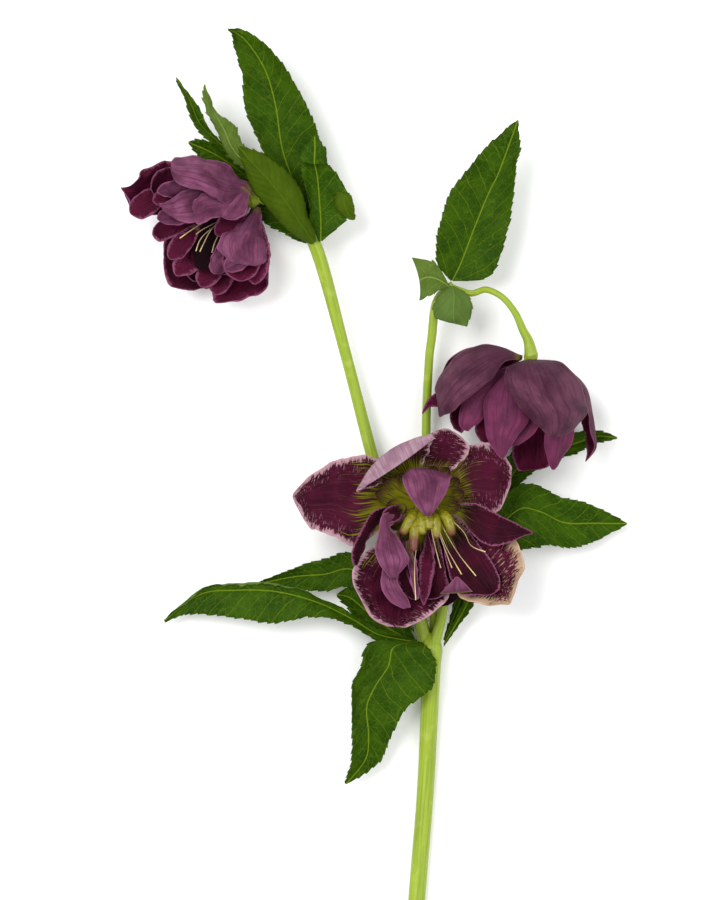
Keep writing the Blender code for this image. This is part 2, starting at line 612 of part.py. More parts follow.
# The right bloom nods: a closed bell of sepals hanging from its arched stalk.
RIGHT_SEPALS = {
    "right_sepal_front": [
        (47, 46, 21.6, 50.6, 46, 21.6, 22),
        (41.8, 44, 24, 58, 45, 23, 28.5),
        (40.5, 40, 26, 63, 40, 23, 34),
        (43, 34.2, 28, 65.8, 33, 22.5, 36.5),
        (46.8, 29, 30, 66.6, 29.5, 23, 36.5),
        (51.5, 24.6, 31.5, 62, 24.2, 27, 34.5),
        (54, 22.2, 32, 57.5, 22, 31, 32.6),
    ],
    "right_sepal_left": [
        (45.4, 47.4, 19.8, 45.2, 46, 20.6, 20.4),
        (40, 50, 18, 40.6, 45.4, 22.6, 22.2),
        (33, 50.6, 16, 37, 40.8, 24.5, 24),
        (26.5, 48, 15, 32, 36.2, 25, 24.8),
        (21.3, 42.6, 14.5, 27.6, 32.9, 24, 23.2),
        (18.8, 36.8, 14.5, 24, 29.6, 22, 20.5),
        (19.4, 32.5, 15.5, 21.4, 28.6, 19.5, 18),
        (19.9, 29, 17, 20.3, 28, 17.6, 17.2),
    ],
    "right_sepal_behind": [
        (46, 46.1, 16.9, 46.2, 47.4, 17.1, 16.8),
        (39, 42, 10.6, 38, 49.6, 13.5, 10.6),
        (33, 38, 5.9, 30, 49.8, 11, 5.9),
        (27, 33, 3.8, 23.4, 46.4, 10, 3.8),
        (23.6, 29.4, 5, 20.8, 41.5, 10.6, 5.4),
        (20.6, 31, 9.8, 19.4, 36.2, 11.4, 10),
        (17.4, 31.2, 11.4, 16.8, 33.8, 11.8, 11.4),
        (14.9, 29, 11.8, 14.7, 29.6, 11.8, 11.8),
    ],
    "right_sepal_back": [
        (50.4, 45.8, 16, 47.4, 45.8, 16, 15.8),
        (56, 43, 9, 42, 42.4, 9.5, 7.5),
        (61, 38, 5, 38, 36, 5, 1.5),
        (63, 32, 4, 36.5, 31, 4.6, 0.2),
        (61, 27, 4.4, 39, 26.5, 5.2, 1.2),
        (56, 25, 6, 45, 25, 6.2, 4.6),
        (52, 24.6, 6.8, 49.5, 24.6, 6.8, 6.4),
    ],
    "right_sepal_side": [
        (51.4, 46, 19.6, 51.6, 46, 18.8, 51.3, 45.8, 18),
        (59.5, 42, 20, 60.5, 42.6, 14.5, 58, 41, 10),
        (65, 37, 20, 66, 37, 13, 62.6, 35, 8),
        (66.6, 29, 20, 68, 29, 13, 64.6, 28, 8),
        (67.6, 23, 18.5, 69, 22.5, 13.5, 66, 22.5, 9),
        (68.5, 18.5, 17, 68.9, 18.3, 14.5, 66.4, 18.5, 12),
        (66.3, 14.6, 15, 66.1, 14.3, 14.7, 65.9, 14.2, 14.4),
    ],
}
RIGHT_PETALS = {
    "right_petal_middle": [
        (46, 44.4, 20.8, 47.4, 44.4, 20.8, 20.9),
        (38.5, 39.5, 21.3, 46, 38, 23, 23.6),
        (34.3, 33.8, 21.7, 48.5, 32, 24.5, 26.4),
        (33.9, 28, 22, 48.2, 26.8, 25.4, 27.6),
        (35, 22.3, 22.5, 44.5, 22.5, 25, 26.6),
        (37.2, 17.6, 24, 42, 18, 24.8, 25),
        (39.2, 15.2, 24.4, 40.3, 15.3, 24.4, 24.4),
    ],
    "right_petal_second": [
        (48, 43.8, 20.2, 49.4, 43.8, 20.2, 20.2),
        (43.4, 38, 19.6, 52, 38, 20.6, 21),
        (41.4, 31, 19.6, 53, 31, 21.4, 21.8),
        (40.8, 25, 20.4, 51.6, 26, 22.4, 22.6),
        (41.3, 20.6, 22, 49, 22.3, 23, 23),
        (43, 19.2, 22.6, 44.8, 19.3, 22.6, 22.7),
    ],
    "right_petal_left": [
        (44.6, 44.8, 19.2, 45.2, 43.9, 19.2, 19.3),
        (36, 42, 19.4, 40.5, 36.5, 18.8, 20),
        (29.5, 37.5, 19, 36, 31.5, 19.2, 20.6),
        (26.6, 31, 18.8, 33.6, 27, 19.6, 20.4),
        (26.1, 26.5, 19, 31, 25.4, 20, 19.8),
        (27.2, 24.2, 19.4, 29.2, 23.6, 19.6, 19.5),
    ],
    "right_petal_left_dark": [
        (45.9, 44.8, 17.6, 45.6, 45.4, 17.6, 17.5),
        (38, 37.5, 12.8, 34.5, 42, 13.4, 11.9),
        (32.8, 31, 12, 27.5, 36.5, 12.4, 10.4),
        (29.5, 26.5, 13.5, 23.8, 30, 12.8, 11.6),
        (27.2, 23, 14.5, 24.6, 24.6, 14.2, 14.1),
    ],
    "right_petal_low_left": [
        (46.8, 43.8, 17.6, 45.8, 43.8, 17.6, 17.5),
        (43.4, 35.5, 15.9, 37.5, 36, 16, 15),
        (40.4, 27.5, 15.9, 32.5, 29, 16.3, 15),
        (38.5, 22, 16.6, 31.4, 24, 17, 15.8),
        (36, 19.9, 17, 33.2, 20.4, 17, 16.9),
    ],
    "right_petal_low": [
        (49.6, 43.9, 17, 47.8, 43.9, 17, 16.9),
        (54.5, 36, 13, 44, 36, 13, 10.6),
        (56.5, 28, 11.5, 43, 28, 12.5, 9),
        (56.5, 20, 12, 43, 20, 13.5, 9.8),
        (55, 13.5, 14, 43.5, 14.2, 15, 12),
        (52.5, 11.9, 15, 45, 11.2, 15.4, 14),
    ],
    "right_petal_low_right": [
        (50.4, 44.2, 20.2, 51.4, 44.2, 20, 20.3),
        (53, 37, 22.2, 59.5, 37.5, 20, 24.4),
        (54.2, 29, 24, 62, 29.5, 20, 26.4),
        (52.6, 21.5, 25, 61.6, 21.5, 20.4, 26.2),
        (53.6, 15.3, 24, 58.6, 15.5, 21.8, 24.6),
        (55.3, 11.6, 23, 56.2, 11.7, 22.8, 23),
    ],
}


def bloom(sepals, petals, sepal_colour, petal_colour):
    for name, rows in sepals.items():
        blade(name, rows, sepal_colour, SEPAL_THICKNESS)
    for name, rows in petals.items():
        blade(name, rows, petal_colour, SEPAL_THICKNESS)


bloom(FRONT_SEPALS, FRONT_PETALS, WINE, LILAC)
bloom(LEFT_SEPALS, LEFT_PETALS, LILAC, WINE)
bloom(RIGHT_SEPALS, RIGHT_PETALS, LILAC, WINE)

# Each bloom's centre: the receptacle that its petals spring from, with nectaries and stamens.
NECTARY = (1.0, 1.7, 1.5)
STAMEN = (0.35, 0.3, 0.35)
joined_centre(
    "front_centre",
    [(16.2, 0.6, 11.7), (16.2, 0.8, 13), (16.2, 0.8, 15), (16.2, 0.6, 17), (16.2, 0, 19.5)],
    [1.9, 4.1, 4.1, 3.6, 1.2],
    [
        ([(15, -1.2, 16.4), (13.6, -5.4, 19.4), (11.6, -9.4, 21)], NECTARY, 8),
        ([(17.6, -1.2, 16.4), (19.4, -4.6, 19), (19.6, -8.4, 20.4)], NECTARY, 8),
        ([(18.6, -0.6, 16.4), (22, -3.6, 19.4), (23.4, -7, 20.8)], NECTARY, 8),
        ([(15.8, 0.4, 19.1), (18.2, -9, 24), (20.6, -18.6, 25)], STAMEN, 6),
        ([(16.8, 0.6, 18.9), (21.6, -10.6, 24.2), (24, -18.8, 25.4)], STAMEN, 6),
        ([(17.2, 1.2, 18.4), (26, -10, 24), (31.4, -21, 26)], STAMEN, 6),
    ],
)
joined_centre(
    "left_centre",
    [(-36.2, 97.4, 14), (-37.4, 96.9, 13.8), (-39, 96.5, 13.6), (-40.6, 95.9, 14), (-42, 95.2, 14.6)],
    [1.6, 2.4, 3.2, 1.9, 0.9],
    [
        ([(-40, 95.6, 13.9), (-47, 89.6, 18), (-52, 84, 21)], STAMEN, 6),
        ([(-39.6, 95.9, 13.3), (-48, 88, 16.6), (-54.6, 80, 20)], STAMEN, 6),
        ([(-40.2, 95.8, 14), (-50, 90.2, 18.4), (-60.4, 84.2, 21)], STAMEN, 6),
    ],
)
joined_centre(
    "right_centre",
    [(48.9, 48.8, 19.1), (48.8, 47.6, 19), (48.6, 46.4, 18.8), (48.4, 44.8, 18.6), (48.2, 43, 18.6)],
    [1.7, 2.6, 2.4, 1.6, 0.8],
    [
        ([(48.4, 44, 18.6), (47.4, 35, 17.4), (46.4, 26, 17)], STAMEN, 6),
        ([(48.6, 44.4, 19.1), (50, 35, 18.2), (51.6, 27, 17.6)], STAMEN, 6),
    ],
)
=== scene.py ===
import math

import bpy
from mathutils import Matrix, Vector, noise


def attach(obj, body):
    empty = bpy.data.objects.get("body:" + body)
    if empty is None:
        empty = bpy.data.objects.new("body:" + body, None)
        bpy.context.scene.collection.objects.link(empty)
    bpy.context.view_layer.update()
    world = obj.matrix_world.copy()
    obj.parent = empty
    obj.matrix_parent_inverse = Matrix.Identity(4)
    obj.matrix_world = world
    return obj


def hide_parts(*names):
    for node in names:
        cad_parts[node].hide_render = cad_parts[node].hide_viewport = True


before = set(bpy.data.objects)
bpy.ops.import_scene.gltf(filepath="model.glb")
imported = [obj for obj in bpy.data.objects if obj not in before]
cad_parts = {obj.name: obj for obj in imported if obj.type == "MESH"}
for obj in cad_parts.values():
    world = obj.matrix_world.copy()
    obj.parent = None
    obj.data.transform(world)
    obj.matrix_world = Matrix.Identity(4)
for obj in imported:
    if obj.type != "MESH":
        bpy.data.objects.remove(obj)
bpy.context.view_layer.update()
MM = 0.001

# The branching stem: one living green stalk with a swollen joint low down, a thick left branch, a thin
# right branch and two flower stalks. It is smooth and waxy, faintly ribbed, with pale mottling. It grew as
# one piece: the branches and the front stalk spring from the low joint, the right stalk from its branch.


class Wire:
    """A shader value: arithmetic on it adds Math nodes, and node() adds any other node."""

    def __init__(self, tree, socket):
        self.tree = tree
        self.socket = socket

    def math(self, operation, other=None, clamp=False):
        made = self.tree.nodes.new("ShaderNodeMath")
        made.operation = operation
        made.use_clamp = clamp
        for place, value in enumerate([self, other]):
            if isinstance(value, Wire):
                self.tree.links.new(value.socket, made.inputs[place])
            elif value is not None:
                made.inputs[place].default_value = value
        return Wire(self.tree, made.outputs[0])

    def __add__(self, other):
        return self.math("ADD", other)

    def __mul__(self, other):
        return self.math("MULTIPLY", other)

    def __sub__(self, other):
        return self.math("SUBTRACT", other)

    def __rsub__(self, other):
        return self.math("MULTIPLY", -1.0) + other

    def __truediv__(self, other):
        return self.math("DIVIDE", other)

    __radd__ = __add__
    __rmul__ = __mul__

    def size(self):
        return self.math("ABSOLUTE")

    def power(self, other):
        return self.math("POWER", other)

    def wave(self):
        return self.math("SINE")

    def clipped(self):
        return self.math("ADD", 0.0, clamp=True)

    def between(self, low, high):
        """0 at low, 1 at high, smooth and held beyond them."""
        return self.node("ShaderNodeMapRange", {"interpolation_type": "SMOOTHSTEP"}, {
            "Value": self, "From Min": low, "From Max": high}, "Result")

    def node(self, kind, settings, sockets, output=0):
        made = self.tree.nodes.new(kind)
        for name, value in settings.items():
            setattr(made, name, value)
        for name, value in sockets.items():
            if isinstance(value, Wire):
                self.tree.links.new(value.socket, made.inputs[name])
            else:
                made.inputs[name].default_value = value
        return Wire(self.tree, made.outputs[output])


def sheet_value(wire, name):
    """One of the measures that each mesh carries, such as its distance from the rim in millimetres."""
    return wire.node("ShaderNodeAttribute", {"attribute_name": name}, {}, "Fac")


def mixed(share, first, second):
    """The colour first where share is 0 and second where it is 1."""
    made = share.tree.nodes.new("ShaderNodeMix")
    made.data_type = "RGBA"
    made.clamp_factor = True
    share.tree.links.new(share.socket, made.inputs[0])
    for place, colour in ((6, first), (7, second)):
        if isinstance(colour, Wire):
            share.tree.links.new(colour.socket, made.inputs[place])
        else:
            made.inputs[place].default_value = (*colour, 1.0)
    return Wire(share.tree, made.outputs[2])


def point_at(wire, x, y, z):
    return wire.node("ShaderNodeCombineXYZ", {}, {"X": x, "Y": y, "Z": z})


def grain(wire, place, scale, detail=4.0, rough=0.55):
    return wire.node("ShaderNodeTexNoise", {}, {
        "Vector": place, "Scale": scale, "Detail": detail, "Roughness": rough}, "Fac")


def new_finish(name):
    finish = bpy.data.materials.new(name)
    finish.use_nodes = True
    shader = finish.node_tree.nodes["Principled BSDF"]
    start = Wire(finish.node_tree, None)
    return finish, shader, start


def set_finish(shader, wire, colour, roughness, height, depth):
    """Joins the patterns to the shader: height in units of depth metres raises the surface."""
    links = wire.tree.links
    links.new(colour.socket, shader.inputs["Base Color"])
    links.new(roughness.socket, shader.inputs["Roughness"])
    bump = wire.node("ShaderNodeBump", {}, {"Height": height, "Distance": depth, "Strength": 1.0}, "Normal")
    links.new(bump.socket, shader.inputs["Normal"])


def along(points, share):
    """The point at share (0 to 1) of a smooth curve that passes through all the points."""
    spans = len(points) - 1
    place = min(max(share, 0.0) * spans, spans - 1e-9)
    first = int(place)
    t = place - first
    before, start = points[max(first - 1, 0)], points[first]
    end, after = points[first + 1], points[min(first + 2, spans)]
    return 0.5 * (2 * start + (end - before) * t + (2 * before - 5 * start + 4 * end - after) * t * t
                  + (3 * start - before - 3 * end + after) * t * t * t)


def add_piece(name, points, faces, finish, measures, node):
    """A smooth mesh from points in millimetres, with its measures and its place in the frame."""
    mesh = bpy.data.meshes.new(name)
    mesh.from_pydata([point * MM for point in points], [], faces)
    for key, values in measures.items():
        mesh.attributes.new(key, "FLOAT", "POINT").data.foreach_set("value", values)
    mesh.shade_smooth()
    mesh.materials.append(finish)
    piece = bpy.data.objects.new(name, mesh)
    bpy.context.scene.collection.objects.link(piece)
    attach(piece, "root")
    if node:
        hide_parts(node)
    return piece


LOOK_AHEAD = 0.01
ROUND_FROM = 0.9
ROUNDING = 90


def tube(path, radii, steps, sides, bumps=0.0, round_tip=False):
    """Points, faces and measures of a round stalk along a smooth curve, closed at both ends."""
    line = [Vector(point) for point in path]
    sizes = [Vector((radius, 0, 0)) for radius in radii]
    points, faces, round_share, run = [], [], [], []
    length = 0.0
    last = line[0]
    for i in range(steps + 1):
        share = i / steps
        centre = along(line, share)
        length += (centre - last).length
        last = centre
        ahead = along(line, min(share + LOOK_AHEAD, 1))
        forward = (ahead - along(line, max(share - LOOK_AHEAD, 0))).normalized()
        side = forward.cross(Vector((0.3, 0.2, 1.0))).normalized()
        up = side.cross(forward)
        radius = along(sizes, share).x
        if round_tip:
            radius *= math.sqrt(max(1 - max(share - ROUND_FROM, 0) ** 2 * ROUNDING, 0.05))
        for k in range(sides):
            angle = 2 * math.pi * k / sides
            spread = radius * (1 + bumps * math.sin(7 * angle) + 0.5 * bumps * math.sin(12 * angle + 2))
            points.append(centre + spread * (math.cos(angle) * side + math.sin(angle) * up))
            round_share.append(k / sides)
            run.append(length)
    for i in range(steps):
        for k in range(sides):
            nxt = (k + 1) % sides
            faces.append((i * sides + k, i * sides + nxt, (i + 1) * sides + nxt, (i + 1) * sides + k))
    faces.append(tuple(reversed(range(sides))))
    faces.append(tuple(range(steps * sides, (steps + 1) * sides)))
    return points, faces, {"round_share": round_share, "run": run}


STEM_LIGHT = (0.29, 0.39, 0.012)
STEM_DEEP = (0.19, 0.28, 0.006)
STEM_PALE = (0.40, 0.46, 0.07)

stem_finish, stem_shader, wire = new_finish("stem_green")

run = sheet_value(wire, "run")
place = wire.node("ShaderNodeTexCoord", {}, {}, "Object")
streaks = grain(wire, point_at(wire, sheet_value(wire, "round_share") * 26.0, run * 0.05, 0.0), 1.0)
mottle = grain(wire, place, 260.0, 5.0)
specks = grain(wire, place, 1500.0, 2.0)
green = mixed(streaks.between(0.3, 0.7), STEM_DEEP, STEM_LIGHT)
green = mixed((mottle.between(0.5, 0.75)) * 0.45, green, STEM_PALE)
green = mixed(specks.between(0.66, 0.74) * 0.35, green, STEM_DEEP)
set_finish(stem_shader, wire, green, mottle * 0.2 + 0.34, streaks * 0.7 + specks * 0.3, 0.00025)
stem_shader.inputs["Subsurface Weight"].default_value = 0.12
stem_shader.inputs["Subsurface Radius"].default_value = (0.001, 0.0015, 0.0004)

STEMS = {
    "main_stem": (
        [(11.5, -150, 2.65), (13.2, -122.8, 2.65), (15.8, -90, 2.8), (17.2, -62, 4.6), (17.5, -50, 6.2),
         (17.5, -44, 6.7), (17.3, -39.5, 6.9)],
        [2.65, 2.65, 2.65, 2.8, 3.2, 3.6, 1.2], 90, 40),
    "left_branch": (
        [(16.4, -44, 6.4), (14.6, -37, 6.1), (11, -24.8, 6), (3.9, 0, 6), (-0.9, 16, 6.5),
         (-9.5, 49, 8.5), (-18.2, 80.5, 12), (-24, 88, 14.4), (-31, 94, 15), (-36.4, 97, 14.2)],
        [2.4, 2.1, 2.0, 1.95, 1.9, 1.8, 2.1, 1.4, 1.3, 1.6], 120, 32),
    "right_branch": (
        [(18.4, -44, 6), (18.7, -35, 5.1), (17.3, 0, 5), (16.1, 22, 5.5), (16.9, 45, 7.5),
         (17.8, 53, 8.2), (19, 63, 9.3), (22, 67.3, 10), (24.8, 68.7, 10.4)],
        [2.0, 1.5, 1.4, 1.4, 1.35, 1.4, 1.45, 1.8, 2.2], 100, 32),
    "front_pedicel": (
        [(18.6, -43, 7.8), (21, -34, 8.8), (22, -24, 8.6), (20.6, -12, 8.7), (18.2, -4.4, 9.3),
         (16.6, 0, 11.4)],
        [1.9, 1.5, 1.3, 1.3, 1.4, 2.0], 60, 28),
    "right_pedicel": (
        [(23.4, 68.2, 10.4), (27, 67.4, 11.6), (30.5, 66.9, 12.5), (35, 68, 15), (40, 65.5, 17.5),
         (43.8, 60.8, 19), (46.2, 55.5, 19.3), (48, 51.8, 19.2), (48.9, 47.2, 19.1)],
        [1.9, 1.3, 1.0, 1.0, 1.0, 1.1, 1.3, 1.6, 2.2], 110, 28),
}
for name, (path, radii, steps, sides) in STEMS.items():
    points, faces, measures = tube(path, radii, steps, sides, bumps=0.018)
    add_piece(name + "_green", points, faces, stem_finish, measures, name)

# The leaves: thin leathery bract lobes with a saw edge and a sunken midrib. The upper side is dark and
# slightly glossy with a pale net of veins, and the underside is dull grey green with the veins raised.
# Each grows from a joint of the stem by its narrow base. The two flaps stand for turned-over edges.


def stations(rows):
    """Left edge, middle and right edge points from rows of seven or nine numbers."""
    lefts, middles, rights = [], [], []
    for row in rows:
        if len(row) == 9:
            left, middle, right = Vector(row[0:3]), Vector(row[3:6]), Vector(row[6:9])
        else:
            left, right = Vector(row[0:3]), Vector(row[3:6])
            middle = (left + right) / 2
            middle.z = row[6]
        lefts.append(left)
        middles.append(middle)
        rights.append(right)
    return lefts, middles, rights


BASE_FADE = 6
TIP_FADE = 2
RIB_WIDTH = 1.3
RIM_THINNING = 1.5
RIM_THICKNESS = 0.35


def blade(name, rows, finish, steps, columns, thickness, teeth=0.0, tooth=2.6, ruffle=0.0, rib=0.0,
          node=None, seed=0.0):
    """A petal or a leaf: a smooth sheet through its stations, with saw teeth or a waved rim."""
    lefts, middles, rights = stations(rows)
    grid = []
    runs = []
    run = 0.0
    last = middles[0]
    for i in range(steps):
        share = i / (steps - 1)
        left, middle, right = along(lefts, share), along(middles, share), along(rights, share)
        run += (middle - last).length
        last = middle
        runs.append(run)
        grid.append([left * (2 * u - 1) * (u - 1) + middle * 4 * u * (1 - u) + right * u * (2 * u - 1)
                     for u in (j / (columns - 1) for j in range(columns))])
    front, back, sides, runs_out, rims, shares, halves = [], [], [], [], [], [], []
    for i in range(steps):
        width = sum((b - a).length for a, b in zip(grid[i], grid[i][1:]))
        from_tip = run - runs[i]
        for j in range(columns):
            u = 2 * j / (columns - 1) - 1
            across = grid[i][min(j + 1, columns - 1)] - grid[i][max(j - 1, 0)]
            outward = grid[min(i + 1, steps - 1)][j] - grid[max(i - 1, 0)][j]
            if across.length < 1e-6:
                across = grid[i][-1] - grid[i][0]
            normal = across.cross(outward).normalized()
            point = grid[i][j].copy()
            fade = min(1.0, runs[i] / BASE_FADE) * min(1.0, from_tip / TIP_FADE)
            if teeth and abs(u) > 0.999:
                saw = (runs[i] / tooth + seed) % 1.0
                size = teeth * (0.7 + 0.6 * noise.noise(Vector((runs[i] * 0.3, seed, u))))
                point += across.normalized() * (1 if u > 0 else -1) * size * saw * fade
                point += outward.normalized() * size * 0.8 * saw * fade
            wobble = noise.noise(Vector((runs[i] * 0.16, u * 1.5 + seed * 3.1, seed)))
            fine = noise.noise(Vector((runs[i] * 0.45, u * 2.5 - seed, seed + 7)))
            lift = ruffle * (wobble * abs(u) ** 1.5 + 0.5 * fine * abs(u) ** 3) * fade
            lift -= rib * math.exp(-(u * width / RIB_WIDTH) ** 2) * fade
            point += normal * lift
            point += across.normalized() * (1 if u > 0 else -1) * ruffle * 0.55 * fine * u ** 4 * fade
            edge = (1 - abs(u)) * width / 2
            thin = thickness * min(1.0, RIM_THICKNESS + edge / RIM_THINNING)
            front.append(point + normal * thin / 2)
            back.append(point - normal * thin / 2)
            sides.append(u * width / 2)
            halves.append(u)
            runs_out.append(runs[i])
            shares.append(runs[i] / run)
            rims.append(min(edge, from_tip + edge * 0.4))
    count = len(front)
    faces = []
    for i in range(steps - 1):
        for j in range(columns - 1):
            a, b = i * columns + j, i * columns + j + 1
            c, d = b + columns, a + columns
            faces += [(a, b, c, d), (count + a, count + d, count + c, count + b)]
        a, d = i * columns, (i + 1) * columns
        faces.append((a, d, count + d, count + a))
        a, d = a + columns - 1, d + columns - 1
        faces.append((a, count + a, count + d, d))
    for j in range(columns - 1):
        faces.append((j, count + j, count + j + 1, j + 1))
        a = (steps - 1) * columns + j
        faces.append((a, a + 1, count + a + 1, count + a))
    measures = {"side": sides * 2, "run": runs_out * 2, "rim": rims * 2, "share": shares * 2,
                "half": halves * 2, "front": [1.0] * count + [0.0] * count}
    return add_piece(name, front + back, faces, finish, measures, node)


def leaf_finish(name, dark, mid, vein, under, spacing):
    """Leaf green with a midrib, curved side veins and the fine net between them."""
    finish, shader, wire = new_finish(name)
    side, run, front = (sheet_value(wire, key) for key in ("side", "run", "front"))
    away = side.size()
    warp = grain(wire, point_at(wire, side * 0.12, run * 0.12, 0.0), 1.0, 2.0) * 3.2
    slanted = (run - away * 1.25 + warp) / spacing
    ladder = ((slanted * math.pi).wave()).size()
    ribs = 1.0 - ladder.between(0.02, 0.11)
    midrib = 1.0 - away.between(0.1, 0.38)
    spot = point_at(wire, side, run * 0.85, warp * 0.2)
    cells = wire.node("ShaderNodeTexVoronoi", {"feature": "DISTANCE_TO_EDGE"},
                      {"Vector": spot, "Scale": 0.55, "Randomness": 1.0}, "Distance")
    small = wire.node("ShaderNodeTexVoronoi", {"feature": "DISTANCE_TO_EDGE"},
                      {"Vector": spot, "Scale": 1.2, "Randomness": 1.0}, "Distance")
    net = (1.0 - cells.between(0.0, 0.06)) * 0.26
    fine = (1.0 - small.between(0.0, 0.07)) * 0.15
    lines = (midrib + ribs * 0.85 + net + fine).clipped()
    patch = grain(wire, spot, 0.14, 3.0)
    speck = grain(wire, spot, 2.6, 3.0)
    upper = mixed(patch.between(0.35, 0.65), dark, mid)
    upper = mixed(speck.between(0.4, 0.8) * 0.3, upper, mid)
    upper = mixed(lines * 0.85, upper, vein)
    lower = mixed(patch.between(0.3, 0.7), under, tuple(c * 0.72 for c in under))
    lower = mixed(lines * 0.45, lower, tuple(min(c * 1.5, 1) for c in under))
    colour = mixed(front, lower, upper)
    height = (0.5 - lines * 0.5) * (front * 2.0 - 1.0) + speck * 0.25
    set_finish(shader, wire, colour, 0.55 - front * 0.16 + speck * 0.12, height, 0.00035)
    shader.inputs["Specular IOR Level"].default_value = 0.04
    return finish


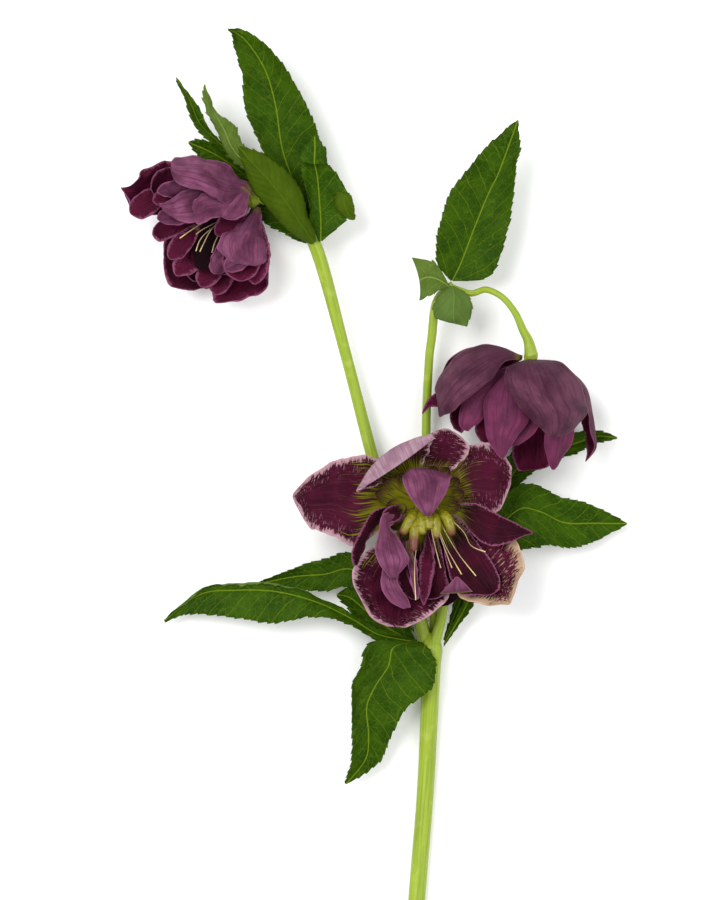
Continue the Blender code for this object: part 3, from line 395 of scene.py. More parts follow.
LEAF_FINISH = leaf_finish("leaf_upper", (0.012, 0.040, 0.0003), (0.027, 0.070, 0.0006), (0.13, 0.20, 0.010),
                          (0.10, 0.17, 0.03), 5.2)
PALE_FINISH = leaf_finish("leaf_underside", (0.062, 0.110, 0.012), (0.09, 0.145, 0.022), (0.2, 0.27, 0.06),
                          (0.092, 0.155, 0.030), 4.2)
CUPPED_FINISH = leaf_finish("leaf_cupped", (0.012, 0.042, 0.0005), (0.024, 0.068, 0.001),
                            (0.13, 0.2, 0.01), (0.052, 0.092, 0.003), 3.4)
LEAF_THICKNESS = 0.42
LEAVES = {
    "left_leaf_tall": [
        (-19.2, 86.2, 12, -18.4, 86.2, 11.8, -17.6, 86.2, 12),
        (-26.4, 98, 14, -25, 101, 13, -19.6, 100, 13.8),
        (-34, 110, 15.5, -29, 112, 13.5, -17.5, 113, 15.5),
        (-39.7, 123, 17, -31.2, 126, 14.5, -21.5, 125, 17),
        (-42, 137, 18, -34.5, 137, 15.5, -28.5, 138, 18),
        (-44, 145.5, 18, -40.5, 146, 16.5, -37.5, 147, 18),
        (-46.1, 149.5, 18, -46, 149.7, 18, -45.6, 149.6, 18),
    ],
    "left_leaf_lobe": [
        (-17.6, 83, 14.6, -17, 83.2, 14.4, -16.4, 83.4, 14.6),
        (-20, 90, 15.8, -17, 90, 15, -9, 90.2, 16.5), (-21, 96, 17, -17.5, 97, 15.5, -7.2, 95, 18),
        (-22, 102, 18.5, -18, 103, 16.5, -11.5, 103, 18),
        (-23, 108, 19.5, -19, 108.5, 18, -15.4, 108, 18.5),
        (-19.6, 115.1, 19, -19.3, 115.3, 19, -19, 115.1, 19),
    ],
    "left_leaf_low": [
        (-21.5, 82.6, 10, -21.3, 83.4, 9.8, -20.9, 84.4, 10), (-28, 85.6, 10, -28, 90, 8.6, -27, 94, 9.6),
        (-35.6, 90.5, 8.4, -35, 96, 7.4, -34, 102, 8.6), (-39, 99.5, 8, -41, 104, 7.4, -41, 109, 9),
        (-47, 106, 9, -47.5, 109, 9, -47.5, 112.2, 9.6),
        (-54, 109.2, 12, -53, 112, 11.6, -52.5, 114.8, 12.4),
        (-58.4, 113.8, 14, -58.4, 114.2, 14, -58.2, 114.5, 14),
    ],
    "left_leaf_cupped": [
        (-18.4, 83.4, 15.3, -19.1, 82.8, 15.4, -20, 82.3, 15.3),
        (-20.5, 90, 18.6, -22.5, 87.5, 20.5, -24.5, 84.6, 18),
        (-23.5, 100, 20.5, -28, 95.5, 23.5, -32, 91, 19.6),
        (-30, 106.8, 21, -33.5, 102.5, 23.5, -38.5, 100, 19.6),
        (-36.5, 110.8, 21, -38.5, 107.8, 22, -41, 106.5, 20.4),
        (-42.3, 112.8, 20.8, -42.5, 112.6, 21, -42.7, 112.3, 20.8),
    ],
    "left_leaf_outer": [
        (-23.6, 88, 10.9, -23, 88.8, 10.8, -22.4, 89.6, 10.9),
        (-34, 98, 10, -33.2, 99, 9.9, -32.4, 100, 10), (-44, 108, 11.4, -43, 109, 11.3, -42, 110, 11.4),
        (-56, 119, 13, -54, 119, 12.6, -51, 117, 13),
        (-59.6, 128, 14.6, -58, 127, 14.2, -56, 125.8, 14.6),
        (-62.4, 134.4, 15.5, -62.3, 134.6, 15.5, -62.1, 134.3, 15.5),
    ],
    "left_leaf_pale": [
        (-25.4, 91.4, 12.2, -24.9, 92.2, 12.2, -24.3, 93, 12.2),
        (-36.5, 102.4, 12.4, -35.6, 103.3, 12.4, -34.6, 104.2, 12.4),
        (-46, 110, 13.6, -44, 111.4, 14, -40.6, 111.2, 13.6),
        (-50.5, 119, 15, -47.5, 118.6, 16, -44, 119, 15),
        (-53.4, 127, 16, -51.9, 126.4, 16.6, -50.6, 124.6, 16),
        (-53.5, 132.2, 16.4, -53.3, 132.4, 16.4, -53.1, 132.1, 16.4),
    ],
    "right_leaf_tall": [
        (23.6, 71, 10.6, 24.2, 70.9, 10.4, 24.8, 70.8, 10.6),
        (19.6, 77, 12.5, 27, 76.5, 10.5, 36, 72.5, 12.5), (20.2, 87, 14, 31, 87, 11.5, 40.8, 84.5, 14),
        (24, 98.5, 15, 35.5, 98, 12.5, 43.2, 97, 15),
        (29, 105.5, 15.5, 38.5, 104, 13.5, 43.6, 104.5, 15.5),
        (36, 113.5, 15.5, 41.5, 112, 14.5, 45, 111, 15.5),
        (44.4, 121, 15, 44.8, 121.2, 15, 45, 120.8, 15),
    ],
    "right_leaf_folded": [
        (23.6, 68, 13, 23.4, 68.8, 12.8, 23.2, 69.6, 13), (20, 68, 14, 20.4, 71, 13.6, 20.5, 74, 14.6),
        (17, 66.2, 15, 16.6, 72, 14.6, 18, 76.4, 15.6), (13.9, 64.6, 16, 13.9, 71, 15.6, 11.4, 78.2, 16),
    ],
    "right_leaf_round": [
        (23.4, 69, 13.8, 24.2, 69.2, 13.9, 25, 69, 13.8),
        (20.6, 66.8, 15.8, 24.8, 66, 16.6, 28.4, 67, 15.8),
        (18.4, 63, 15.6, 24.6, 62.5, 17, 30.2, 63.4, 15.6),
        (19, 59.2, 15, 24.6, 59.4, 16.4, 29.6, 59.4, 15),
        (22.5, 57.9, 14.8, 25.2, 57.4, 15, 28.8, 56.4, 14.8),
    ],
    "lower_leaf_behind": [
        (12.3, -39.3, 7, 12.4, -38.8, 6.8, 12, -38.1, 7), (2, -30, 8, 2, -27.5, 7, 3, -25, 8),
        (-7, -25, 8.5, -7, -19.8, 7, -6.5, -15.2, 8.5), (-16, -26.2, 8, -16, -21.2, 6.5, -15, -16.4, 8),
        (-25, -26, 7, -24, -21.8, 5.8, -24, -18.8, 7), (-32, -25.2, 6, -31, -23, 5.2, -30, -21, 6),
        (-37.2, -24.7, 5, -37.3, -24.4, 5, -37.2, -24.1, 5),
    ],
    "lower_leaf_long": [
        (13.2, -43.2, 8.6, 13.3, -42.5, 8.5, 13.4, -41.8, 8.6),
        (2, -42.2, 9.6, 1, -40, 9, 1.5, -38.5, 9.5),
        (-8, -36.8, 11.5, -7, -35.3, 10.8, -5.5, -34.6, 11.5),
        (-19, -34.2, 12, -18, -30, 10.5, -16, -29, 11.5),
        (-32, -36.2, 11, -31, -26.6, 9.5, -30, -24.6, 10.3),
        (-45, -34.4, 9.5, -44, -26.2, 8, -43.5, -24.3, 8.6),
        (-57, -33.3, 7, -55, -27.6, 6, -54, -25.9, 6.4),
        (-66.3, -36.1, 3.6, -66.3, -35.8, 3.6, -66.2, -35.5, 3.6),
    ],
    "lower_leaf_small": [
        (12.9, -43.6, 5.4, 13, -42.9, 5.2, 13, -42, 5.4), (2, -42.5, 5.5, 4, -38, 4.5, 7, -33, 5.5),
        (-5, -36.5, 6, -3, -32.5, 5, 0, -28, 6), (-9.5, -30.5, 6, -8, -28.5, 5.4, -6.5, -25, 6),
        (-12.1, -27.9, 6, -12, -27.7, 6, -11.9, -27.4, 6),
    ],
    "lower_leaf_front": [
        (14.6, -42.4, 10.6, 14, -42.3, 10.6, 13.4, -42.3, 10.6),
        (17.5, -45.5, 12, 6, -44, 10.6, -1, -42.4, 11.4), (19, -50, 12.5, 4.2, -50, 9.8, -4.5, -50, 11.5),
        (17, -57.5, 12, 0, -56.5, 9, -7, -57, 11), (9.5, -63.4, 10.5, -2.6, -63, 8, -7.4, -64, 9.5),
        (4, -73.5, 8.5, -2, -72, 6.5, -6.9, -73, 8), (1, -80.5, 6.5, -3, -79.5, 5, -7.3, -80, 6.5),
        (-8.8, -87.2, 4, -9.1, -87.3, 4, -9.4, -87.1, 4),
    ],
    "side_leaf": [
        (21.6, -43, 6.8, 21.7, -43.4, 6.6, 21.6, -43.9, 6.8),
        (29, -27, 7.5, 30.5, -27.5, 7, 32, -28.5, 7.5), (34, -8, 9, 37, -10, 8, 40, -13, 9),
        (42, 4.5, 10, 45, -1, 8.5, 46, -13.2, 10), (49, 7, 10, 52, -1.6, 8, 54, -11.8, 9.5),
        (58, 3, 9, 59.5, -5, 7, 61, -12.5, 8.5), (68, 0.4, 7, 69, -5.2, 5.5, 68, -11, 6.5),
        (79.2, -5.1, 3.5, 79.3, -5.3, 3.5, 79.2, -5.6, 3.5),
    ],
    "side_leaf_behind": [
        (21.5, -41.8, 4.6, 21.9, -42.2, 4.5, 22.2, -42.6, 4.6),
        (28, -22, 4, 29.5, -22.8, 3.8, 31, -23.5, 4), (36, -2, 3.5, 37.6, -3, 3.3, 39, -4, 3.5),
        (40.8, 13, 3.5, 44, 11, 2.6, 47, 9, 3.5), (48, 20.5, 4, 52, 17, 2.2, 55, 13.5, 3.6),
        (60, 22.5, 4.5, 62, 19.5, 3.4, 63, 17.2, 4.2), (69, 24, 6, 69.5, 22, 5.2, 69.5, 20.2, 5.8),
        (76, 21.9, 7, 76.1, 21.6, 7, 76, 21.3, 7),
    ],
}
LEAF_FINISHES = {"left_leaf_cupped": CUPPED_FINISH, "left_leaf_pale": PALE_FINISH,
                 "right_leaf_round": PALE_FINISH, "right_leaf_folded": PALE_FINISH}
for number, (name, rows) in enumerate(LEAVES.items()):
    finish = LEAF_FINISHES.get(name, LEAF_FINISH)
    blade(name + "_blade", rows, finish, 160, 23, LEAF_THICKNESS, teeth=0.85, tooth=2.6,
          ruffle=0.9, rib=0.45, node=name, seed=number * 1.7)
LEAF_FLAPS = {
    "left_lobe_flap": [
        (-23.7, 108.3, 20, -19, 107.2, 20.8, -14.9, 107.6, 19.8),
        (-22.4, 112, 20.4, -18.8, 111.8, 21, -15.6, 111.6, 20.2),
        (-19.8, 115.6, 19.8, -18.9, 115.8, 20, -17.6, 115.4, 19.8)],
    "left_lobe_side_flap": [
        (-12, 98.8, 18.2, -9.6, 98, 18.8, -7.4, 97.6, 18.4),
        (-12.2, 94.6, 18, -9.4, 93.8, 18.9, -6.6, 93.4, 18.4),
        (-8.4, 90.2, 17.4, -7.2, 89.8, 17.6, -6.2, 90, 17.4)],
}
for number, (name, rows) in enumerate(LEAF_FLAPS.items()):
    blade(name, rows, CUPPED_FINISH, 60, 23, LEAF_THICKNESS, teeth=0.7, tooth=1.9,
          ruffle=0.8, seed=number * 2.1 + 5)

# The front bloom, open and facing up: six broad sepals round layered narrow petals. They are thin, soft
# living tissue, velvety wine on the face and lilac grey on the back, with fine lengthwise veins, and they
# grow from the receptacle in the middle by their narrow bases.


def petal_finish(name, deep, wine, rim, rim_width, base, base_reach, back, back_dark, feather=1.0):
    """Velvety wine face with a feathered pale rim and a green base, and a veined lilac back, each with
    painted shade that darkens it towards the base.
    """
    finish, shader, wire = new_finish(name)
    side, run, front, share, edge, half = (
        sheet_value(wire, key) for key in ("side", "run", "front", "share", "rim", "half"))
    veins = grain(wire, point_at(wire, half * 9.0, run * 0.035, share), 1.0, 3.0, 0.6)
    threads = grain(wire, point_at(wire, half * 30.0, run * 0.09, share * 2.0), 1.0, 2.0)
    cloud = grain(wire, point_at(wire, side * 0.09, run * 0.09, front), 1.0, 4.0)
    tip_side = half * share.power(6.0) * 10.0
    ragged = grain(wire, point_at(wire, edge * 0.3, run * 1.5, tip_side), 1.0, 2.0)
    rays = (threads - 0.5) * 1.0 * feather + (ragged - 0.5) * 6.0 * feather
    flecks = grain(wire, point_at(wire, edge * 0.5, run * 2.4, tip_side * 1.6), 1.0, 2.0).between(0.57, 0.68)
    flecks = flecks * (1.0 - edge.between(rim_width, rim_width * 4.5))
    pale = 1.0 - (edge + rays).between(rim_width * 0.35, rim_width * 1.05)
    thin_pale = 1.0 - edge.between(0.12, 0.6)
    face = mixed(cloud.between(0.3, 0.7), deep, wine)
    face = mixed(threads.between(0.45, 0.75) * 0.4, face, tuple(min(c * 1.9 + 0.012, 1) for c in wine))
    # Painted shade: the face darkens towards its base, deep in the bloom.
    face = mixed((1.0 - share.between(0.05, 0.62)) * 0.8, face, deep)
    green = 1.0 - (share * (1.0 + (threads - 0.5) * 2.2)).between(base_reach * 0.55, base_reach * 1.05)
    face = mixed(green * 0.92, face, base)
    face = mixed(flecks * 0.5 * feather, face, rim)
    face = mixed((pale * 0.82 + thin_pale * 0.3).clipped(), face, rim)
    outer = mixed(cloud.between(0.35, 0.66), back, back_dark)
    # Painted shade: the back darkens towards its base as well.
    outer = mixed((1.0 - share.between(0.05, 0.6)) * 0.6, outer, back_dark)
    outer = mixed(veins.between(0.44, 0.62) * 0.6, outer, back_dark)
    outer = mixed(threads.between(0.52, 0.7) * 0.45, outer, tuple(c * 0.42 for c in back_dark))
    outer = mixed(thin_pale * 0.6, outer, tuple(min(c * 1.6, 1) for c in back))
    outer = mixed(green * 0.45, outer, base)
    colour = mixed(front, outer, face)
    set_finish(shader, wire, colour, 0.58 + (cloud - 0.5) * 0.25, threads * 0.6 + veins * 0.6, 0.0003)
    shader.inputs["Sheen Weight"].default_value = 0.02
    shader.inputs["Sheen Roughness"].default_value = 0.4
    shader.inputs["Sheen Tint"].default_value = (0.85, 0.6, 0.75, 1.0)
    shader.inputs["Specular IOR Level"].default_value = 0.05
    return finish


DEEP = (0.007, 0.0008, 0.0026)
WINE = (0.040, 0.0022, 0.011)
PLUM = (0.078, 0.0055, 0.025)
MAUVE = (0.215, 0.066, 0.135)
DUSKY = (0.075, 0.017, 0.042)
PINK_RIM = (0.42, 0.24, 0.28)
CREAM_RIM = (0.50, 0.34, 0.22)
OLIVE = (0.17, 0.17, 0.002)
PLUM_RIM = (0.20, 0.055, 0.11)
FACE_DEEP = (0.018, 0.0012, 0.005)
FACE_WINE = (0.056, 0.0036, 0.017)
CURL_LIGHT = (0.36, 0.23, 0.27)
CURL_DARK = (0.20, 0.10, 0.15)
FACE_FINISH = petal_finish("wine_face", FACE_DEEP, FACE_WINE, PINK_RIM, 1.7, OLIVE, 0.40, MAUVE, DUSKY)
LEFT_FINISH = petal_finish("wine_left", WINE, PLUM, PLUM_RIM, 0.8, OLIVE, 0.12, MAUVE, DUSKY, 0.5)
GREEN_FINISH = petal_finish("green_base", DEEP, WINE, PLUM, 0.1, OLIVE, 0.86, OLIVE, OLIVE, 0.0)
# A near black finish for dark petal sheets that stand for painted shade in the blooms' hollows.
CAVITY_SHADE_FINISH = petal_finish("painted_cavity_shade", DEEP, DEEP, WINE, 0.3, DEEP, 0.1, WINE, DEEP, 0.4)
CURL_FINISH = petal_finish("wine_curl", DEEP, WINE, PINK_RIM, 0.8, OLIVE, 0.45, CURL_LIGHT, CURL_DARK)
CREAM_FINISH = petal_finish("wine_cream_rim", DEEP, PLUM, CREAM_RIM, 3.6, OLIVE, 0.16, MAUVE, DUSKY, 1.5)
INNER_FINISH = petal_finish("wine_inner", DEEP, WINE, PLUM_RIM, 0.5, OLIVE, 0.26, MAUVE, DUSKY, 0.4)
SEPAL_THICKNESS = 0.38
FRONT_SEPALS = {
    "front_sepal_left": [
        (11.2, -1, 13.2, 11.2, 4.5, 13.2, 13), (4, -6, 15.5, 7, 10, 15, 14.2),
        (-2, -10, 17.5, 2, 14.6, 16.5, 15.8), (-8, -12, 18.5, -4, 16, 17.5, 16.8),
        (-15, -8.2, 19, -11.5, 14.8, 18.5, 17.8), (-21, -6, 20, -18.5, 11.2, 20, 19),
        (-24.2, 0, 21, -23.5, 6.5, 21, 20.6), (-25.8, 3, 21.3, -25.6, 4.2, 21.3, 21.3),
    ],
    "front_sepal_top_left": [
        (11.8, 4.9, 14.4, 12.8, 5, 14.3, 13.8, 5.6, 14.4), (4, 7, 17, 9, 11, 16.2, 15.5, 13.5, 16.8),
        (-3, 6, 19.6, 5.5, 16, 19.4, 17.5, 19, 19.8), (-6, 5, 21.6, 5, 17.7, 22, 18.2, 22, 22),
        (-5, 5.3, 23.4, 7.2, 13, 24, 18.4, 21.4, 23.6),
    ],
    "front_sepal_top": [
        (14.8, 5.6, 13.3, 18.2, 5.8, 13.3, 13.1), (13.5, 13, 14.8, 25, 12, 16.6, 15),
        (14.5, 18, 16.8, 29, 16.5, 19, 17.5), (15.5, 21.2, 19, 29.2, 19.4, 20.5, 19.5),
        (18, 23.6, 20.6, 26.8, 22.2, 21, 21), (21.5, 24.6, 21.2, 23, 24.5, 21.2, 21.2),
    ],
    "front_sepal_right": [
        (20.2, 4.4, 13.3, 20.9, 1.6, 13.3, 13.1), (24, 13, 14.6, 27, 0, 15.2, 14.6),
        (29, 18.8, 16.8, 33, -0.8, 16.8, 16.2), (35, 20.2, 19.4, 38, -1.8, 18.3, 18),
        (40, 16.5, 21.5, 41, 3, 20, 19.8), (42.8, 12.5, 22, 42.4, 7, 21.5, 21.6),
    ],
    "front_sepal_lower_right": [
        (20.8, -1.4, 13.3, 19.2, -3, 13.3, 13.1), (31, -4, 14.6, 23, -14, 15.2, 14.2),
        (39, -7, 17.2, 25, -22.5, 17.4, 15.6), (44, -10.8, 20, 26.5, -28.2, 20, 17.5),
        (46, -17.5, 23, 33, -30, 22, 20), (44.5, -24, 24, 38, -30.8, 23.5, 22.6),
        (42.4, -30, 24, 41.6, -30.6, 24, 24),
    ],
    "front_sepal_lower": [
        (17.8, -3.9, 13.2, 12.9, -3.1, 13.3, 13), (20, -13, 14.2, 4, -9, 15.5, 13.8),
        (22.5, -22, 15.6, -2, -13.5, 18.5, 14.8), (23.2, -28.8, 18.6, -6.4, -18.6, 22, 16.2),
        (18, -33, 22, -6.6, -25, 24.5, 19), (12.5, -36.4, 24.5, -2, -33.2, 25.5, 22.5),
        (9.5, -37.6, 25.8, 3.8, -37.2, 25.8, 25.2),
    ],
}
SEPAL_FINISHES = {"front_sepal_lower_right": CREAM_FINISH, "front_sepal_top_left": CURL_FINISH}
for number, (name, rows) in enumerate(FRONT_SEPALS.items()):
    blade(name + "_sheet", rows, SEPAL_FINISHES.get(name, FACE_FINISH), 90, 45, SEPAL_THICKNESS,
          ruffle=1.5, node=name, seed=number * 2.3 + 0.4)
FRONT_PETALS = {
    "front_petal_pointed": [
        (20.5, 0.9, 15.2, 20.8, -0.9, 15.2, 15), (26, 1.2, 18.5, 26.5, -3.5, 18.5, 17.6),
        (31, 1.2, 20.5, 30, -8, 20.5, 19.4), (36, -1, 21.6, 35, -11.8, 21.6, 20.6),
        (42, -3.8, 22.6, 41.5, -11.4, 22.6, 21.8), (46.5, -6.1, 23.2, 46, -9.5, 23.2, 22.8),
        (49.3, -7.8, 23.5, 49.3, -8.3, 23.5, 23.5),
    ],
    "front_petal_dark_right": [
        (20.6, -1.8, 15.2, 19.6, -3, 15.2, 15), (27.5, -6, 16.8, 21.5, -13, 17.6, 16.6),
        (34, -13.5, 19, 23.5, -22, 19.8, 18.4), (38.3, -20, 21.8, 26, -26.5, 22.2, 21),
        (38.8, -25, 23.6, 31.5, -27.2, 23.8, 23), (36.5, -27.4, 24.4, 35, -27.6, 24.4, 24.4),
    ],
    "front_petal_dark_lower": [
        (18.2, -4.3, 14.7, 16.2, -4.7, 14.7, 14.6), (21, -14, 16, 11, -13, 16.6, 15.6),
        (22.4, -22, 17.4, 10, -21, 18.2, 16.8), (22.3, -26.5, 19.6, 13, -27.5, 20.4, 18.6),
        (19.5, -28.6, 21.4, 17, -28.9, 21.6, 21.2),
    ],
    "front_petal_narrow": [
        (11.6, -2, 15.2, 10.9, 0.6, 15.2, 15), (6, -3, 17, 5, 0.6, 18.5, 17),
        (1, -5.5, 18.2, -0.5, -1.4, 21.5, 19.6), (-2, -10, 19.4, -4.6, -8, 23.5, 21.2),
        (-3.8, -14.5, 20.4, -7.2, -13.5, 24.5, 22.3), (-5.6, -18.2, 23, -6.6, -18.4, 24.6, 23.8),
    ],
    "front_petal_lilac_upper": [
        (11.8, -2.9, 17, 12.6, -3.5, 17, 17.1), (6.5, -1.5, 19.8, 8, -4.5, 19.8, 20),
        (2.3, -2.5, 22.8, 4.5, -6.5, 22.8, 23.2), (1, -9, 24, 7, -9.5, 24, 25),
        (0, -13, 25, 10, -14.5, 24.6, 26.2), (1.2, -17.5, 25.2, 10.5, -17.2, 24.6, 26.4),
        (4.8, -22.2, 24.8, 6.4, -22, 24.8, 25.2),
    ],
    "front_petal_lilac_lower": [
        (12.8, -3.4, 15.4, 14.8, -4.4, 15.4, 15.3), (8, -9, 17.7, 12, -10.4, 17.9, 17.7),
        (4, -15, 20, 9.5, -17, 20, 20.2), (2.2, -20.5, 22.3, 7, -22.5, 22.3, 22.9),
        (1.8, -24.5, 23.4, 8.3, -25.5, 23, 24), (4.2, -29, 24, 10.5, -28.8, 23.6, 24.4),
        (8.8, -31.8, 24, 11.2, -31.3, 24, 24.1),
    ],
    "front_petal_heart": [
        (14.6, 5.2, 15.7, 17.6, 5.2, 15.7, 15.5), (11.5, 8, 18.8, 21, 7.6, 18.8, 18),
        (9.4, 10.6, 21.4, 14, 12, 21.4, 23.8, 9.8, 21.4), (8.8, 8, 23.8, 23.4, 7.6, 23.6, 25),
        (10.6, 3.6, 24.8, 21.8, 3.4, 24.6, 26.2), (14, -1, 25.2, 19, -0.6, 25, 26),
        (16.1, -2.9, 25, 17.2, -2.8, 25, 25.2),
    ],
}
for number, (name, rows) in enumerate(FRONT_PETALS.items()):
    blade(name + "_sheet", rows, INNER_FINISH, 70, 31, SEPAL_THICKNESS,
          ruffle=0.8, node=name, seed=number * 1.9 + 11)


def small_petal(name, base, tip, width, arch, cup, finish, seed, flip=False, ruffle=1.2):
    """An extra petal from base to tip, arched up along its middle and cupped at its sides."""
    base, tip = Vector(base), Vector(tip)
    side = (tip - base).cross(Vector((0, 0, 1))).normalized() * (-1 if flip else 1)
    rows = []
    for share, wide in ((0, 0.3), (0.2, 0.65), (0.5, 1.0), (0.78, 0.86), (0.93, 0.5), (1, 0.1)):
        middle = base.lerp(tip, share)
        middle.z += arch * math.sin(math.pi * share)
        spread = side * width * wide / 2
        up = Vector((0, 0, cup * wide * wide))
        rows.append((*(middle - spread + up), *middle, *(middle + spread + up)))
    blade(name, rows, finish, 50, 21, SEPAL_THICKNESS, ruffle=ruffle, seed=seed)


FRONT_EXTRA = [
    # The first, broad and low under the others, is a dark sheet of painted shade.
    ((17.5, -2, 13.9), (22, -31, 15.6), 19, -0.4, 0.8, CAVITY_SHADE_FINISH, False),
    ((14, -6, 15.2), (12, -29, 19.6), 12, -0.6, 1.4, INNER_FINISH, False),
    ((17.4, -5, 15.2), (15.2, -30.6, 24), 4.4, -1.5, 0.6, LEFT_FINISH, False),
    ((9.5, 0.5, 17), (2.4, -4.4, 22.6), 5, 0.5, 1.2, INNER_FINISH, False),
    ((10, -9.6, 18), (13.4, -28.8, 24.6), 2.8, 0.3, 0.3, FACE_FINISH, True),
]
for number, (base, tip, width, arch, cup, finish, flip) in enumerate(FRONT_EXTRA):
    small_petal(f"front_extra_{number}", base, tip, width, arch, cup, finish, number * 3.7 + 60, flip)
LILAC_TIP = [(30.6, -26.4, 23.2, 20.2, -27.2, 20.2, 23), (28.6, -24.4, 25, 22.4, -24.9, 25, 25.6),
             (25.9, -21.7, 26, 25.1, -21.8, 26, 26.1)]
blade("front_lilac_tip", LILAC_TIP, LEFT_FINISH, 30, 21, SEPAL_THICKNESS, ruffle=0.5, seed=71.0)
FRONT_SHORT = [(0, 4.4), (2.5, 8.2), (7.5, 10.4), (13, 11.6), (18.5, 13), (23, 12.4), (26.4, 8.8), (28, 4.6),
               (3.4, 0.2), (5, -6.6), (8.4, -10.4), (26.6, 0.4)]
for number, (x, y) in enumerate(FRONT_SHORT):
    start = Vector((15.4, 0.8, 16.6)).lerp(Vector((x, y, 16.6)), 0.25)
    small_petal(f"front_short_{number}", start, (x, y, 19.2), 5.6, -0.9, 0.5, GREEN_FINISH,
                number * 2.9 + 80, ruffle=0.7)

# The left bloom, half open and seen from its side: lilac sepal backs make a roof over a mouth of small
# layered petals, whose shade is painted as a dark petal sheet. It is the same thin velvety tissue as the
# front bloom, and it grows from a receptacle at the end of the left branch.
LEFT_SEPALS = {
    "left_sepal_top": [
        (-37.2, 100.4, 16.6, -38, 98.6, 17.6, 17.6), (-41, 102.6, 17.4, -42, 97.2, 21, 20.4),
        (-46, 106, 17.5, -46.5, 95, 26, 25.5), (-52.5, 108.8, 19, -51.5, 97, 30, 29.5),
        (-58, 109.2, 20.5, -57, 99.6, 31.5, 30.5), (-62, 108.8, 22.5, -61, 101, 31.5, 29.8),
        (-63.8, 107.6, 25.5, -63.6, 104.4, 29.5, 28),
    ],
    "left_sepal_side": [
        (-41.6, 97.3, 11, -41.2, 99.3, 11, 10.8), (-48, 92, 10.5, -47, 103, 11.4, 9.4),
        (-58, 89.5, 11.5, -56, 107, 13.5, 9.5), (-66, 90.5, 14, -65, 108.6, 17, 12),
        (-72, 91.6, 17, -71, 106, 19, 15), (-76.8, 92.3, 20, -74.5, 102.5, 20, 18.5),
        (-78, 98, 21.5, -79.6, 99.8, 21.8, 21.6),
    ],
    "left_sepal_lower_left": [
        (-40, 95.2, 10.2, -41.2, 96.4, 10.2, 10.1), (-43, 88, 6.5, -49, 92.4, 8, 5.5),
        (-46, 80, 3.2, -58, 90, 7.4, 1.9), (-49, 73, 2.7, -65, 86, 10, 0.8),
        (-51.5, 69, 5.5, -66, 79, 12, 3.6), (-55, 68, 9, -66, 73, 13, 8),
        (-59, 68, 12, -64, 69, 13.5, 12),
    ],
    "left_sepal_lower_right": [
        (-36.9, 95, 10.9, -38.5, 94.4, 10.9, 10.7), (-35.2, 88, 10.2, -42.6, 86, 9.2, 8.2),
        (-33.6, 80.5, 10.8, -45, 79, 7.8, 6.8), (-32.8, 74.5, 12.5, -48, 73, 8.2, 7.4),
        (-34.5, 68.5, 13.5, -50.8, 68.5, 10.6, 9.4), (-40, 66.3, 13.5, -51, 66, 12.2, 11.2),
        (-46, 64.2, 13.6, -50, 63.8, 13.2, 13.2),
    ],
    "left_sepal_folded": [
        (-37.5, 94, 15.2, -35.7, 93.8, 14.2, 15.2), (-40.2, 90, 18.5, -35.8, 90, 15, 18.5),
        (-44, 86.5, 22, -35, 86, 15.5, 22.5), (-48.2, 84, 25.5, -34.2, 82, 16.5, 25),
        (-49, 80.5, 26.5, -33.8, 79.5, 18, 25), (-46.5, 77.2, 25.5, -34.6, 76.6, 19.5, 24.5),
        (-43, 76, 25, -37.5, 75.3, 22, 24),
    ],
}
for number, (name, rows) in enumerate(LEFT_SEPALS.items()):
    blade(name + "_sheet", rows, LEFT_FINISH, 90, 41, SEPAL_THICKNESS,
          ruffle=2.2, node=name, seed=number * 2.7 + 21)
